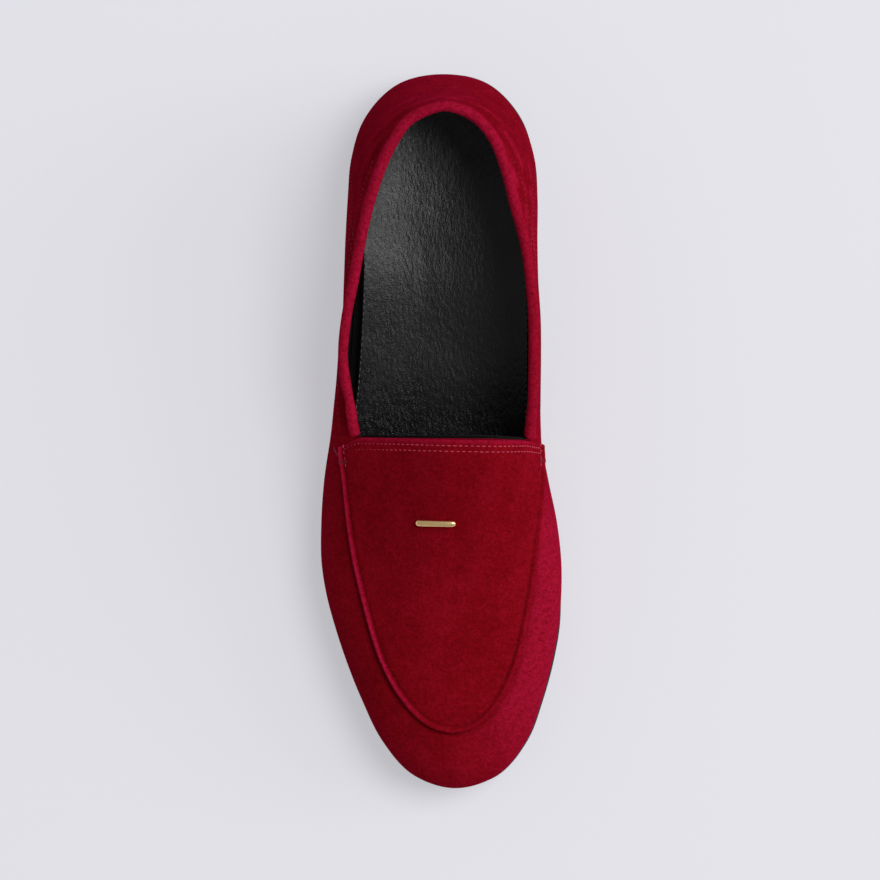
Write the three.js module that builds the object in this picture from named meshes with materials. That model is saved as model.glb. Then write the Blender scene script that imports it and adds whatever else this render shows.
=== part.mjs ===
// Suede loafer, right shoe, standing empty on its sole. Millimetres.
// +X is the inner (big toe) side, +Y the heel, -Y the toe, +Z up.
// Stations s are distances forward from the back of the heel.

import * as THREE from "three";

// Driving dimensions
const LENGTH = 296;
const WALL = 2.0;
const GAP = 0.3;
const FEATHER_INSET = 1.7;
const SOLE_OUTSET = 1.5;
const SOLE_EXTRA = 0.5;
const SOLE_RECESS = 1.1;
const SOLE_RECESS_HEIGHT = 1.4;
const SEAT_Z = 10.0;
const SEAT_END = 85;
const LAYER_GROOVE = 0.5;
const LIFT_HEIGHT = 2.6;
const HEEL_INSET = 0.6;
const BREAST_OUTER = 75.7;
const BREAST_INNER = 84;
const INSOLE_THICKNESS = 3.0;
const APRON_THICKNESS = 1.2;
const APRON_EASE = 0.2;
const RIDGE_HEIGHT = 2.1;
const ROLL_OUTWARD = 0.7;
const ROLL_INWARD = 1.4;
const ROLL_CROWN = 0.7;
const ORNAMENT = { x: -1.5, s: 185.6, length: 15.5, radius: 1.45 };

// Rows of the last: the 0th at the back of the heel, the 10th at the throat, the 20th at the toe.
// Columns: widest point (x, s, z), shoulder or apron seam (x, s, z), collar edge (x, s, z).
const THROAT_ROW = 10;
const TOE_ROW = 20;
const FAN_ROW = 16; // from here forward all rows meet in one point of the crest
const OUTER_SIDE = [
  [0.3, 0.0, 19, 2.0, 9.2, 54, 2.9, 15.7, 82.2],
  [-17.2, 4.0, 23, -12.8, 12.0, 55, -9.8, 20.2, 80.9],
  [-31.7, 19.0, 26, -25.0, 23.4, 56, -17.7, 29.2, 78.9],
  [-37.0, 35.7, 28, -31.6, 38.3, 56, -23.8, 41.8, 76.2],
  [-38.4, 52.2, 29, -34.9, 53.6, 54, -28.9, 57.0, 73.0],
  [-39.2, 68.9, 30, -37.4, 69.6, 52, -32.5, 72.0, 69.2],
  [-39.7, 85.5, 31, -38.7, 86.0, 50, -35.6, 87.0, 65.1],
  [-40.4, 102.1, 32, -39.7, 102.3, 48, -39.0, 102.6, 61.2],
  [-41.5, 118.0, 32, -41.6, 118.0, 46.5, -40.4, 118.5, 57.8],
  [-43.2, 135.1, 30, -41.9, 135.0, 45.5, -37.4, 135.2, 54.4],
  [-45.4, 149.5, 28, -41.4, 150.5, 44.6],
  [-48.4, 168.2, 24, -39.3, 168.5, 43.7],
  [-49.7, 186.0, 22, -37.6, 187.0, 42.9],
  [-49.6, 203.0, 21, -35.2, 203.5, 41.9],
  [-47.6, 216.0, 20, -32.4, 216.5, 41.2],
  [-44.2, 228.7, 20, -29.2, 229.5, 40.5],
  [-39.5, 243.0, 20, -25.2, 241.8, 39.9],
  [-32.8, 259.7, 20.5, -19.0, 254.6, 39.6],
  [-24.5, 276.3, 21, -11.6, 264.3, 39.7],
  [-11.8, 290.4, 21, -4.0, 270.2, 39.9],
  [6.0, LENGTH, 21.3, 5.2, 272.6, 40.0],
];
const INNER_SIDE = [
  OUTER_SIDE[0],
  [18.8, 4.0, 23, 16.6, 12.2, 56, 15.4, 20.2, 81.6],
  [33.0, 19.0, 26, 28.6, 23.6, 57.5, 23.8, 30.0, 80.6],
  [38.8, 35.7, 28, 34.4, 38.3, 58, 28.4, 41.8, 78.4],
  [40.0, 52.3, 29, 37.4, 53.8, 57, 32.3, 57.0, 75.4],
  [39.9, 69.0, 30, 39.0, 69.8, 55, 36.5, 72.0, 72.1],
  [40.2, 85.8, 31, 40.2, 86.2, 53, 38.9, 87.0, 69.0],
  [41.0, 102.3, 33, 41.2, 102.4, 51, 40.0, 102.6, 66.8],
  [40.9, 118.0, 34, 41.0, 118.0, 49.8, 40.0, 118.5, 65.2],
  [40.6, 135.1, 33, 41.0, 135.0, 48.4, 39.4, 135.2, 64.3],
  [40.7, 150.5, 30, 41.2, 151.8, 47.0],
  [44.0, 168.2, 25, 41.8, 168.5, 46.0],
  [47.7, 186.0, 23, 40.7, 187.0, 45.0],
  [49.6, 203.0, 21.5, 39.4, 203.5, 43.8],
  [49.6, 216.0, 21, 37.8, 216.5, 42.8],
  [48.6, 228.7, 20.5, 35.6, 229.5, 42.0],
  [46.1, 243.0, 20.5, 32.6, 241.8, 41.3],
  [41.6, 259.7, 20.5, 27.6, 254.6, 40.7],
  [35.3, 276.3, 21, 20.8, 264.8, 40.3],
  [22.9, 290.8, 21, 13.4, 270.6, 40.1],
  OUTER_SIDE[20],
];

// Crest of the instep from the throat to the centre of the toe. Columns: row, x, s.
const CREST_LINE = [
  [10, 7.0, 151.4],
  [11, 6.4, 168.5],
  [12, 5.6, 187.0],
  [13, 5.0, 203.5],
  [14, 4.6, 216.5],
  [15, 4.2, 229.5],
  [16, 4.0, 244.0],
];
// Height of the crest under the apron. Columns: s, z.
const CREST_HEIGHT = [
  [151.4, 84.4],
  [160.1, 80.6],
  [168, 76.1],
  [175.9, 71.3],
  [183.8, 67.0],
  [191.7, 62.9],
  [199.6, 58.8],
  [207.5, 55.1],
  [215.5, 52.1],
  [223.5, 49.8],
  [231.5, 47.7],
  [239.6, 46.0],
  [247.7, 44.5],
  [255.7, 43.2],
  [263.8, 41.9],
  [273, 40.0],
];
// Fullness of the arch from seam to crest. Columns: row, outer side, inner side.
const FULLNESS = [
  [10, 1.57, 3.8],
  [11, 1.72, 3.0],
  [12, 1.85, 2.45],
  [13, 1.95, 2.15],
  [14, 2.0, 2.0],
  [20, 2.0, 2.0],
];
// Share of the way from crest to seam where the collar meets the throat edge.
const COLLAR_MEET = { outer: 0.85, inner: 0.89 };
// Lower edge of the upper. Columns: s, z.
const FEATHER_HEIGHT = [
  [0, 16.0],
  [24, 16.6],
  [60, 16.7],
  [88.7, 15.9],
  [107, 13.6],
  [125, 11.2],
  [141.6, 8.9],
  [155.9, 7.0],
  [171.4, 6.1],
  [201.3, 5.7],
  [226.7, 6.8],
  [241.5, 8.6],
  [258.5, 10.7],
  [279, 12.9],
  [296, 15.2],
];
// Underside of the outsole; level under the ball of the foot. Columns: s, z.
const TREAD_HEIGHT = [
  [0, SEAT_Z],
  [SEAT_END, SEAT_Z],
  [93, 9.0],
  [103.4, 7.7],
  [115.4, 6.1],
  [131.3, 3.9],
  [147.2, 1.7],
  [160, 0],
  [205, 0],
  [225, 1.2],
  [244, 3.0],
  [268.5, 5.4],
  [285.7, 7.4],
  [296, 9.4],
];
// Side of the outsole. Columns: outset from the sole's outline, share of the height.
const SOLE_SIDE = [
  [-2.2, 0],
  [-0.5, 0.06],
  [0, 0.24],
  [0, 0.55],
  [-0.35, 1],
];

const lerp = (a, b, k) => a + (b - a) * k;
const clamp = (v) => Math.min(1, Math.max(0, v));
const smooth = (a, b, v) => {
  const k = clamp((v - a) / (b - a));
  return k * k * (3 - 2 * k);
};
const add = (a, b, k = 1) => a.map((v, i) => v + b[i] * k);
const length = (a) => Math.hypot(...a);
const unit = (a) => a.map((v) => v / (length(a) || 1));
const cross = (a, b) => [
  a[1] * b[2] - a[2] * b[1],
  a[2] * b[0] - a[0] * b[2],
  a[0] * b[1] - a[1] * b[0],
];

// Cubic between a and b with end tangents, at k from 0 to 1.
function hermite(a, b, ta, tb, k) {
  const k2 = k * k;
  const k3 = k2 * k;
  return a.map(
    (v, i) =>
      v * (2 * k3 - 3 * k2 + 1) +
      ta[i] * (k3 - 2 * k2 + k) +
      b[i] * (3 * k2 - 2 * k3) +
      tb[i] * (k3 - k2),
  );
}

// Smooth curve through rows of values at rising knots.
function track(knots, rows) {
  const last = rows.length - 1;
  const slope = (i) =>
    rows[i].map((v, c) => (rows[i + 1][c] - v) / (knots[i + 1] - knots[i]));
  const tangent = rows.map((row, i) => {
    if (i === 0) return slope(0);
    if (i === last) return slope(last - 1);
    const before = slope(i - 1);
    const after = slope(i);
    const h0 = knots[i] - knots[i - 1];
    const h1 = knots[i + 1] - knots[i];
    return before.map((v, c) => (v * h1 + after[c] * h0) / (h0 + h1));
  });
  return (knot) => {
    let i = 0;
    while (i < last - 1 && knot > knots[i + 1]) i += 1;
    const h = knots[i + 1] - knots[i];
    const k = clamp((knot - knots[i]) / h);
    const ta = tangent[i].map((v) => v * h);
    const tb = tangent[i + 1].map((v) => v * h);
    return hermite(rows[i], rows[i + 1], ta, tb, k);
  };
}

const curveOf = (table) => track(table.map((r) => r[0]), table.map((r) => r.slice(1)));
const crestCurve = curveOf(CREST_LINE);
const crestLine = (row) => crestCurve(Math.min(row, FAN_ROW));
const crestHeight = curveOf(CREST_HEIGHT);
const fullness = curveOf(FULLNESS);
const featherHeight = curveOf(FEATHER_HEIGHT);
const treadCurve = curveOf(TREAD_HEIGHT);
const treadHeight = (s) => {
  if (s < SEAT_END) return SEAT_Z;
  return s > 160 && s < 205 ? 0 : Math.max(0, treadCurve(s)[0]);
};

// Rows run round the shoe: 0 to 20 up the outer side, 20 to 40 back along the inner one.
// Two turns on each end make the curve through them close smoothly.
const ROUND = 2 * TOE_ROW;
const rowAt = (i) => {
  const n = ((i % ROUND) + ROUND) % ROUND;
  return n <= TOE_ROW ? OUTER_SIDE[n] : INNER_SIDE[ROUND - n];
};
function loopTrack(first, from, to) {
  const knots = [0];
  const rows = [];
  for (let i = from; i <= to; i += 1) {
    rows.push(rowAt(i).slice(first, first + 3));
    if (i > from) {
      const a = rowAt(i - 1);
      const b = rowAt(i);
      knots.push(knots[knots.length - 1] + Math.hypot(b[0] - a[0], b[1] - a[1]));
    }
  }
  const curve = track(knots, rows);
  return (q) => {
    const i = Math.min(to - from - 1, Math.max(0, Math.floor(q - from)));
    return curve(lerp(knots[i], knots[i + 1], q - from - i));
  };
}
const widest = loopTrack(0, -3, ROUND + 3);
const shoulder = loopTrack(3, -3, ROUND + 3);

const halfRow = (q) => (q <= TOE_ROW ? q : ROUND - q);
const isOuter = (q) => q <= TOE_ROW;

// Point over the instep, on the way from the crest (share 0) to the seam (share 1).
function instep(q, share) {
  const row = halfRow(q);
  const [cx, cs] = crestLine(row);
  const seam = shoulder(q);
  const power = fullness(row)[isOuter(q) ? 0 : 1];
  const x = lerp(cx, seam[0], share);
  const s = lerp(cs, seam[1], share);
  const fall = crestHeight(seam[1])[0] - seam[2];
  return [x, s, crestHeight(s)[0] - fall * share ** power];
}

const meet = (q) => (isOuter(q) ? COLLAR_MEET.outer : COLLAR_MEET.inner);
OUTER_SIDE[THROAT_ROW].push(...instep(THROAT_ROW, COLLAR_MEET.outer));
INNER_SIDE[THROAT_ROW].push(...instep(ROUND - THROAT_ROW, COLLAR_MEET.inner));
const collar = loopTrack(6, -THROAT_ROW, THROAT_ROW);
const collarAt = (q) => collar(isOuter(q) ? q : q - ROUND);

// Level direction out of the shoe at the widest line.
function outward(q) {
  const a = widest(q - 0.02);
  const b = widest(q + 0.02);
  const n = Math.hypot(b[0] - a[0], b[1] - a[1]);
  return [-(b[1] - a[1]) / n, (b[0] - a[0]) / n, 0];
}
function feather(q, inset = FEATHER_INSET) {
  const w = widest(q);
  const p = add(w, outward(q), -inset);
  return [p[0], p[1], featherHeight(p[1])[0]];
}

const LEAST_SLOPE = 0.4;
function seamDirection(q) {
  const a = instep(q, 1);
  const b = instep(q, 0.99);
  const d = [b[0] - a[0], b[1] - a[1], b[2] - a[2]];
  const level = Math.hypot(d[0], d[1]);
  return unit([d[0], d[1], Math.max(d[2], level * LEAST_SLOPE)]);
}
// Direction of the wall where it passes the shoulder.
function shoulderDirection(q) {
  const row = halfRow(q);
  if (row >= THROAT_ROW) return seamDirection(q);
  const chord = unit(add(collarAt(q), widest(q), -1));
  const near = smooth(THROAT_ROW - 2, THROAT_ROW, row);
  return near > 0 ? unit(add(chord.map((v) => v * (1 - near)), seamDirection(q), near)) : chord;
}

// Wall from the feather edge (v 0) by the widest line (v 1) to the shoulder (v 2).
function wall(q, v) {
  const w = widest(q);
  if (v <= 1) {
    const f = feather(q);
    const span = length(add(w, f, -1));
    const out = outward(q);
    const start = [out[0] * 0.5 * span, out[1] * 0.5 * span, 0.85 * span];
    return hermite(f, w, start, [0, 0, span], v);
  }
  const sh = shoulder(q);
  const span = length(add(sh, w, -1)) * 1.08;
  return hermite(w, sh, [0, 0, span], shoulderDirection(q).map((n) => n * span), v - 1);
}
// Wall from the shoulder (v 0) to the collar edge (v 1).
function quarter(q, v) {
  const sh = shoulder(q);
  const top = collarAt(q);
  const chord = add(top, sh, -1);
  const span = length(chord);
  const near = smooth(THROAT_ROW - 2, THROAT_ROW, halfRow(q));
  const cap = unit(add(instep(q, meet(q) - 0.01), instep(q, meet(q)), -1));
  const end = unit(add(unit(chord).map((n) => n * (1 - near)), cap, near));
  const start = shoulderDirection(q).map((n) => n * span);
  return hermite(sh, top, start, end.map((n) => n * span), v);
}

// Rows up the wall, then from the shoulder to the collar edge, as shares of the way or as
// distances below the edge, and from there on over the instep.
const WALL_ROWS = [0, 0.5, 1, 1.35, 1.7, 2];
const ROLL_ROWS = [
  { below: 6.0, out: 0, in: 0 },
  { below: 4.4, out: 0.35, in: 0.5 },
  { below: 2.6, out: 1, in: 1 },
  { below: 1.0, out: 0.75, in: 0.8 },
  { below: 0, out: 0.1, in: 0.2 },
];
const STRIP = ROLL_ROWS.length;
const CAP_ROWS = 6;
// Columns along one side, from heel to toe; the last ones behind the throat lie close together.
const SIDE_COLUMNS = [];
for (let r = 0; r < THROAT_ROW; r += 0.5) SIDE_COLUMNS.push(r);
SIDE_COLUMNS.push(THROAT_ROW - 0.1);
for (let r = THROAT_ROW; r <= TOE_ROW; r += 0.5) SIDE_COLUMNS.push(r);
const ROUND_COLUMNS = [
  ...SIDE_COLUMNS,
  ...SIDE_COLUMNS.slice(1, -1)
    .reverse()
    .map((r) => ROUND - r),
];

function stripShare(q, i) {
  const span = length(add(collarAt(q), shoulder(q), -1));
  const below = Math.min(ROLL_ROWS[i].below, span * (1 - (i + 1) / (STRIP + 2)));
  return 1 - below / span;
}

class Solid {
  constructor() {
    this.points = [];
    this.faces = [];
  }
  point(p) {
    this.points.push(p);
    return this.points.length - 1;
  }
  quad(a, b, c, d) {
    this.triangle(a, b, c);
    this.triangle(a, c, d);
  }
  triangle(a, b, c) {
    if (a !== b && b !== c && a !== c) this.faces.push([a, b, c]);
  }
  normals() {
    const sum = this.points.map(() => [0, 0, 0]);
    for (const [a, b, c] of this.faces) {
      const pa = this.points[a];
      const n = cross(add(this.points[b], pa, -1), add(this.points[c], pa, -1));
      for (const i of [a, b, c]) sum[i] = add(sum[i], n);
    }
    // Stations run against +Y, so the product points inwards and is turned round.
    return sum.map((n) => unit(n).map((v) => -v));
  }
  mesh(name, material) {
    const geometry = new THREE.BufferGeometry();
    const flat = this.points.flatMap(([x, s, z]) => [x, LENGTH / 2 - s, z]);
    geometry.setAttribute("position", new THREE.Float32BufferAttribute(flat, 3));
    geometry.setIndex(this.faces.flat());
    geometry.computeVertexNormals();
    const mesh = new THREE.Mesh(geometry, material);
    mesh.name = name;
    return mesh;
  }
}

// The upper: its outer face as a grid of columns, an inner face one wall behind it, and the rims.
function buildUpper() {
  const grid = new Solid();
  const info = [];
  const put = (p, roll) => {
    info.push(roll);
    return grid.point(p);
  };
  const none = { out: 0, in: 0 };
  const crest = new Map();
  const columns = ROUND_COLUMNS.map((q) => {
    const row = halfRow(q);
    const ids = WALL_ROWS.map((v, i) => put(wall(q, v), { ...none, foot: i === 0 }));
    if (row < THROAT_ROW) {
      const near = row > THROAT_ROW - 0.2 ? 0.5 : 1;
      ROLL_ROWS.forEach((r, i) => {
        ids.push(put(quarter(q, stripShare(q, i)), { out: r.out * near, in: r.in * near }));
      });
      return ids;
    }
    const turn = meet(q);
    for (let i = 0; i < STRIP; i += 1) {
      const k = row === THROAT_ROW ? stripShare(q, i) : (i + 1) / STRIP;
      ids.push(put(instep(q, lerp(1, turn, k)), none));
    }
    for (let i = 1; i < CAP_ROWS; i += 1) ids.push(put(instep(q, turn * (1 - i / CAP_ROWS)), none));
    const key = Math.min(row, FAN_ROW);
    if (!crest.has(key)) crest.set(key, put(instep(q, 0), none));
    ids.push(crest.get(key));
    return ids;
  });
  const count = columns.length;
  for (let c = 0; c < count; c += 1) {
    const a = columns[c];
    const b = columns[(c + 1) % count];
    const rows = Math.min(a.length, b.length);
    for (let i = 0; i + 1 < rows; i += 1) grid.quad(a[i], b[i], b[i + 1], a[i + 1]);
  }
  const normals = grid.normals();
  const solid = new Solid();
  const outer = grid.points.map((p, i) => {
    return solid.point(add(p, normals[i], ROLL_OUTWARD * info[i].out));
  });
  const inner = grid.points.map((p, i) => {
    const n = info[i].foot ? unit([normals[i][0], normals[i][1], 0]) : normals[i];
    return solid.point(add(p, n, -WALL - ROLL_INWARD * info[i].in));
  });
  for (const [a, b, c] of grid.faces) {
    solid.triangle(outer[a], outer[b], outer[c]);
    solid.triangle(inner[a], inner[c], inner[b]);
  }
  for (let c = 0; c < count; c += 1) {
    const a = columns[c][0];
    const b = columns[(c + 1) % count][0];
    solid.quad(outer[a], inner[a], inner[b], outer[b]);
  }
  // The rim of the opening: round the collar, then over the throat edge.
  const rim = [];
  const top = WALL_ROWS.length + STRIP - 1;
  const start = ROUND_COLUMNS.indexOf(ROUND - THROAT_ROW);
  for (let c = start; c < count; c += 1) rim.push(columns[c][top]);
  const end = ROUND_COLUMNS.indexOf(THROAT_ROW);
  for (let c = 0; c <= end; c += 1) rim.push(columns[c][top]);
  const edge = columns[end];
  for (let i = top + 1; i < edge.length; i += 1) rim.push(edge[i]);
  const back = columns[start];
  for (let i = back.length - 2; i > top; i -= 1) rim.push(back[i]);
  const collarCount = count - start + end;
  const crown = rim.map((i, k) => {
    const mid = add(solid.points[outer[i]], solid.points[inner[i]]).map((v) => v / 2);
    const inside = k > 0 && k < collarCount;
    const lift = inside ? ROLL_CROWN : 0.3;
    const up = k > collarCount ? [0, -1, 0] : [0, 0, 1];
    return solid.point(add(mid, up, lift));
  });
  rim.forEach((a, k) => {
    const n = (k + 1) % rim.length;
    const b = rim[n];
    solid.quad(outer[a], outer[b], crown[n], crown[k]);
    solid.quad(crown[k], crown[n], inner[b], inner[a]);
  });
  return solid;
}

// Closed solid between loops of points stacked upwards. Each loop starts at the back of the
// heel, goes up the outer side and comes back along the inner side.
function ladder(loops, pointed) {
  const solid = new Solid();
  const ids = loops.map((loop) => loop.map((p) => solid.point(p)));
  const count = loops[0].length;
  for (let k = 0; k + 1 < ids.length; k += 1) {
    for (let i = 0; i < count; i += 1) {
      const n = (i + 1) % count;
      solid.quad(ids[k][i], ids[k][n], ids[k + 1][n], ids[k + 1][i]);
    }
  }
  const cap = (loop, flip) => {
    const half = pointed ? count / 2 : (count - 1) / 2;
    for (let i = 0; i < half; i += 1) {
      const a = loop[i];
      const b = loop[Math.min(i + 1, half)];
      const c = loop[(count - i - 1) % count];
      const d = loop[(count - i) % count];
      if (flip) solid.quad(a, d, c, b);
      else solid.quad(a, b, c, d);
    }
  };
  cap(ids[0], true);
  cap(ids[ids.length - 1], false);
  return solid;
}

const SOLE_COLUMNS = [];
for (let r = 0; r <= TOE_ROW; r += 0.5) SOLE_COLUMNS.push(r);
const SOLE_ROUND = [
  ...SOLE_COLUMNS,
  ...SOLE_COLUMNS.slice(1, -1)
    .reverse()
    .map((r) => ROUND - r),
];

// The sole shows a little more along the inner side of the heel and of the toe.
function soleExtra(q) {
  if (isOuter(q)) return 0;
  const row = ROUND - q;
  const heel = smooth(0, 2, row) * (1 - smooth(5, 7, row));
  const toe = smooth(13, 15.5, row) * (1 - smooth(18.5, 20, row));
  return SOLE_EXTRA * (heel + toe);
}
function soleLoop(outset, height) {
  return SOLE_ROUND.map((q) => {
    const p = feather(q, FEATHER_INSET - SOLE_OUTSET - soleExtra(q) - outset);
    return [p[0], p[1], height(p[1])];
  });
}
function buildOutsole() {
  const roof = (s) => featherHeight(s)[0] - GAP;
  const ledge = (s) => roof(s) - SOLE_RECESS_HEIGHT;
  const loops = SOLE_SIDE.map(([outset, share]) =>
    soleLoop(outset, (s) => lerp(treadHeight(s), ledge(s), share)),
  );
  loops.push(soleLoop(-SOLE_RECESS, (s) => ledge(s) + 0.2));
  loops.push(soleLoop(-SOLE_RECESS, roof));
  return ladder(loops, true);
}
function buildInsole() {
  const inset = FEATHER_INSET + WALL + 0.6;
  const at = (lift, more) =>
    SOLE_ROUND.map((q) => {
      const p = feather(q, inset + more);
      return [p[0], p[1], featherHeight(p[1])[0] + lift];
    });
  const top = INSOLE_THICKNESS;
  return ladder([at(0, 0), at(top * 0.7, 0), at(top, 0.8)], true);
}

// Station of the front face of the heel across the width.
const breast = (x) => lerp(BREAST_OUTER, BREAST_INNER, clamp((x + 38) / 76));
function heelLoop(inset, z) {
  const points = [];
  const steps = 22;
  const side = (sign) => {
    const list = [];
    for (let i = 1; i <= steps; i += 1) {
      const r = (i / steps) * 6;
      const q = sign < 0 ? r : ROUND - r;
      const p = feather(q, FEATHER_INSET - SOLE_OUTSET + inset);
      if (p[1] < breast(p[0]) - 1) list.push([p[0], p[1], z]);
      else {
        const before = list[list.length - 1];
        const limit = breast(p[0]);
        list.push([lerp(before[0], p[0], 0.5), limit, z]);
        break;
      }
    }
    return list;
  };
  const outer = side(-1);
  const inner = side(1);
  const least = Math.min(outer.length, inner.length);
  const start = feather(0, FEATHER_INSET - SOLE_OUTSET + inset);
  points.push([start[0], start[1], z]);
  const trim = (list) => [...list.slice(0, least - 1), list[list.length - 1]];
  points.push(...trim(outer), ...trim(inner).reverse());
  return points;
}
function buildHeelStack() {
  const low = LIFT_HEIGHT + GAP;
  const high = SEAT_Z - GAP;
  const mid = (low + high) / 2;
  const g = LAYER_GROOVE;
  const rows = [
    [HEEL_INSET + 0.3, low],
    [HEEL_INSET, low + 0.3],
    [HEEL_INSET, mid - 0.35],
    [HEEL_INSET + g, mid - 0.1],
    [HEEL_INSET + g, mid + 0.1],
    [HEEL_INSET, mid + 0.35],
    [HEEL_INSET, high - 0.3],
    [HEEL_INSET + 0.3, high],
  ];
  return ladder(
    rows.map(([inset, z]) => heelLoop(inset, z)),
    false,
  );
}
function buildTopLift() {
  const rows = [
    [HEEL_INSET + 0.5, 0],
    [HEEL_INSET + 0.1, 0.4],
    [HEEL_INSET + 0.1, LIFT_HEIGHT],
  ];
  return ladder(
    rows.map(([inset, z]) => heelLoop(inset, z)),
    false,
  );
}

// Top of the apron over the upper. Columns: distance from its edge, height over the gap.
const RIDGE = [
  [0, 0.35],
  [0.3, 1.4],
  [1.3, RIDGE_HEIGHT],
  [2.4, 1.7],
  [3.1, 0.95],
  [4.4, APRON_THICKNESS],
];
const APRON_ROWS = 6;
const CORNER_SHIFT = { outer: 0.2, inner: 0.08 };

function buildApron() {
  const grid = new Solid();
  const tops = [];
  const half = [];
  for (let r = THROAT_ROW; r <= TOE_ROW; r += 0.5) half.push(r);
  const around = [
    ...half,
    ...half
      .slice(0, -1)
      .reverse()
      .map((r) => ROUND - r),
  ];
  const crest = new Map();
  const columns = around.map((q) => {
    const row = halfRow(q);
    const ids = [];
    const [cx, cs] = crestLine(row);
    const seam = shoulder(q);
    const run = Math.hypot(seam[0] - cx, seam[1] - cs);
    const d = seamDirection(q);
    const stretch = 1 / Math.hypot(d[0], d[1]);
    const shift = isOuter(q) ? CORNER_SHIFT.outer : CORNER_SHIFT.inner;
    const place = (share) => {
      if (row > THROAT_ROW) return instep(q, share);
      const move = shift * smooth(0.78, 1, share);
      return instep(isOuter(q) ? q + move : q - move, share);
    };
    let last = 1;
    for (const [from, top] of RIDGE) {
      last = 1 - (from + 0.4) / (run * stretch);
      ids.push(grid.point(place(last)));
      tops.push(top);
    }
    for (let i = 1; i < APRON_ROWS; i += 1) {
      ids.push(grid.point(place(last * (1 - i / APRON_ROWS))));
      tops.push(APRON_THICKNESS);
    }
    const key = Math.min(row, FAN_ROW);
    if (!crest.has(key)) {
      crest.set(key, grid.point(instep(q, 0)));
      tops.push(APRON_THICKNESS);
    }
    ids.push(crest.get(key));
    return ids;
  });
  for (let c = 0; c + 1 < columns.length; c += 1) {
    const a = columns[c];
    const b = columns[c + 1];
    for (let i = 0; i + 1 < a.length; i += 1) grid.quad(a[i], b[i], b[i + 1], a[i + 1]);
  }
  const normals = grid.normals();
  const solid = new Solid();
  const outer = grid.points.map((p, i) => solid.point(add(p, normals[i], GAP + APRON_EASE + tops[i])));
  const inner = grid.points.map((p, i) => solid.point(add(p, normals[i], GAP + APRON_EASE)));
  for (const [a, b, c] of grid.faces) {
    solid.triangle(outer[a], outer[b], outer[c]);
    solid.triangle(inner[a], inner[c], inner[b]);
  }
  const first = columns[0];
  const back = columns[columns.length - 1];
  const rim = columns.map((ids) => ids[0]);
  rim.push(...back.slice(1), ...first.slice(1, -1).reverse());
  rim.forEach((a, k) => {
    const b = rim[(k + 1) % rim.length];
    solid.quad(outer[a], inner[a], inner[b], outer[b]);
  });
  return solid;
}

// Point on the upper's outer face over a place (x, s) of the instep, and the way out of it.
function instepAt(x, s) {
  let low = THROAT_ROW;
  let high = FAN_ROW;
  for (let i = 0; i < 30; i += 1) {
    const mid = (low + high) / 2;
    if (crestLine(mid)[1] < s) low = mid;
    else high = mid;
  }
  const cx = crestLine(low)[0];
  const q = x < cx ? low : ROUND - low;
  return instep(q, (x - cx) / (shoulder(q)[0] - cx));
}
function buildOrnament() {
  const { x, s, length: span, radius } = ORNAMENT;
  const solid = new Solid();
  const sides = 12;
  const rings = [];
  const steps = [-1, -0.97, -0.9, -0.8, -0.55, -0.25, 0, 0.25, 0.55, 0.8, 0.9, 0.97, 1];
  for (const k of steps) {
    const reach = 1 - Math.abs(k);
    const size = radius * Math.sqrt(clamp(1 - (1 - clamp(reach / 0.19)) ** 2));
    const at = (dx, ds) => instepAt(x + (k * span) / 2 + dx, s + ds);
    const p = at(0, 0);
    const along = unit(add(at(0.5, 0), at(-0.5, 0), -1));
    const down = unit(add(at(0, 0.5), at(0, -0.5), -1));
    const up = unit(cross(along, down));
    const centre = add(p, up, APRON_THICKNESS + APRON_EASE + 2 * GAP + radius);
    if (size < 1e-6) rings.push([solid.point(centre)]);
    else {
      const ring = [];
      for (let i = 0; i < sides; i += 1) {
        const a = (-2 * Math.PI * i) / sides;
        const arm = add(down.map((v) => v * Math.cos(a)), up, Math.sin(a));
        ring.push(solid.point(add(centre, arm, size)));
      }
      rings.push(ring);
    }
  }
  for (let k = 0; k + 1 < rings.length; k += 1) {
    const a = rings[k];
    const b = rings[k + 1];
    for (let i = 0; i < sides; i += 1) {
      const n = (i + 1) % sides;
      solid.quad(a[i % a.length], a[n % a.length], b[n % b.length], b[i % b.length]);
    }
  }
  return solid;
}

const paint = (color, roughness, metalness = 0) =>
  new THREE.MeshStandardMaterial({ color, roughness, metalness });
const suede = paint(0x8c0020, 0.95);
const blackLeather = paint(0x17181a, 0.5);
const heelBlack = paint(0x1b1b1d, 0.45);

const group = new THREE.Group();
group.add(
  buildOutsole().mesh("outsole", blackLeather),
  buildHeelStack().mesh("heel_stack", heelBlack),
  buildTopLift().mesh("top_lift", paint(0x2a1c18, 0.6)),
  buildInsole().mesh("insole", paint(0x1c1d20, 0.55)),
  buildUpper().mesh("upper", suede),
  buildApron().mesh("apron", paint(0x90001f, 0.95)),
  buildOrnament().mesh("ornament", paint(0xd9a441, 0.25, 1)),
);

// The origin lies under the middle of the shoe's box, on the floor.
const box = new THREE.Box3().setFromObject(group);
group.position.set(-(box.min.x + box.max.x) / 2, -(box.min.y + box.max.y) / 2, -box.min.z);

export default group;
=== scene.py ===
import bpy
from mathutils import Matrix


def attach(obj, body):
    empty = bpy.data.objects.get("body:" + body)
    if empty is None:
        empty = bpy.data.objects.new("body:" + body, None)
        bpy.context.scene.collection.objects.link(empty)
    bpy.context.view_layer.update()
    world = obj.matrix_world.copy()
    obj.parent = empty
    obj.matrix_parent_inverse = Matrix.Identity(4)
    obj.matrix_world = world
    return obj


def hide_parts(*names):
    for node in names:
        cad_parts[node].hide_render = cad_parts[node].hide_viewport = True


bl_info = {
    "name": "Suede loafer",
    "version": (1, 0, 0),
    "blender": (4, 5, 0),
    "location": "View3D > Sidebar > Loafer",
    "description": "Builds a suede loafer with its sole, heel, apron and stitching",
    "category": "Add Mesh",
}

import math

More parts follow.
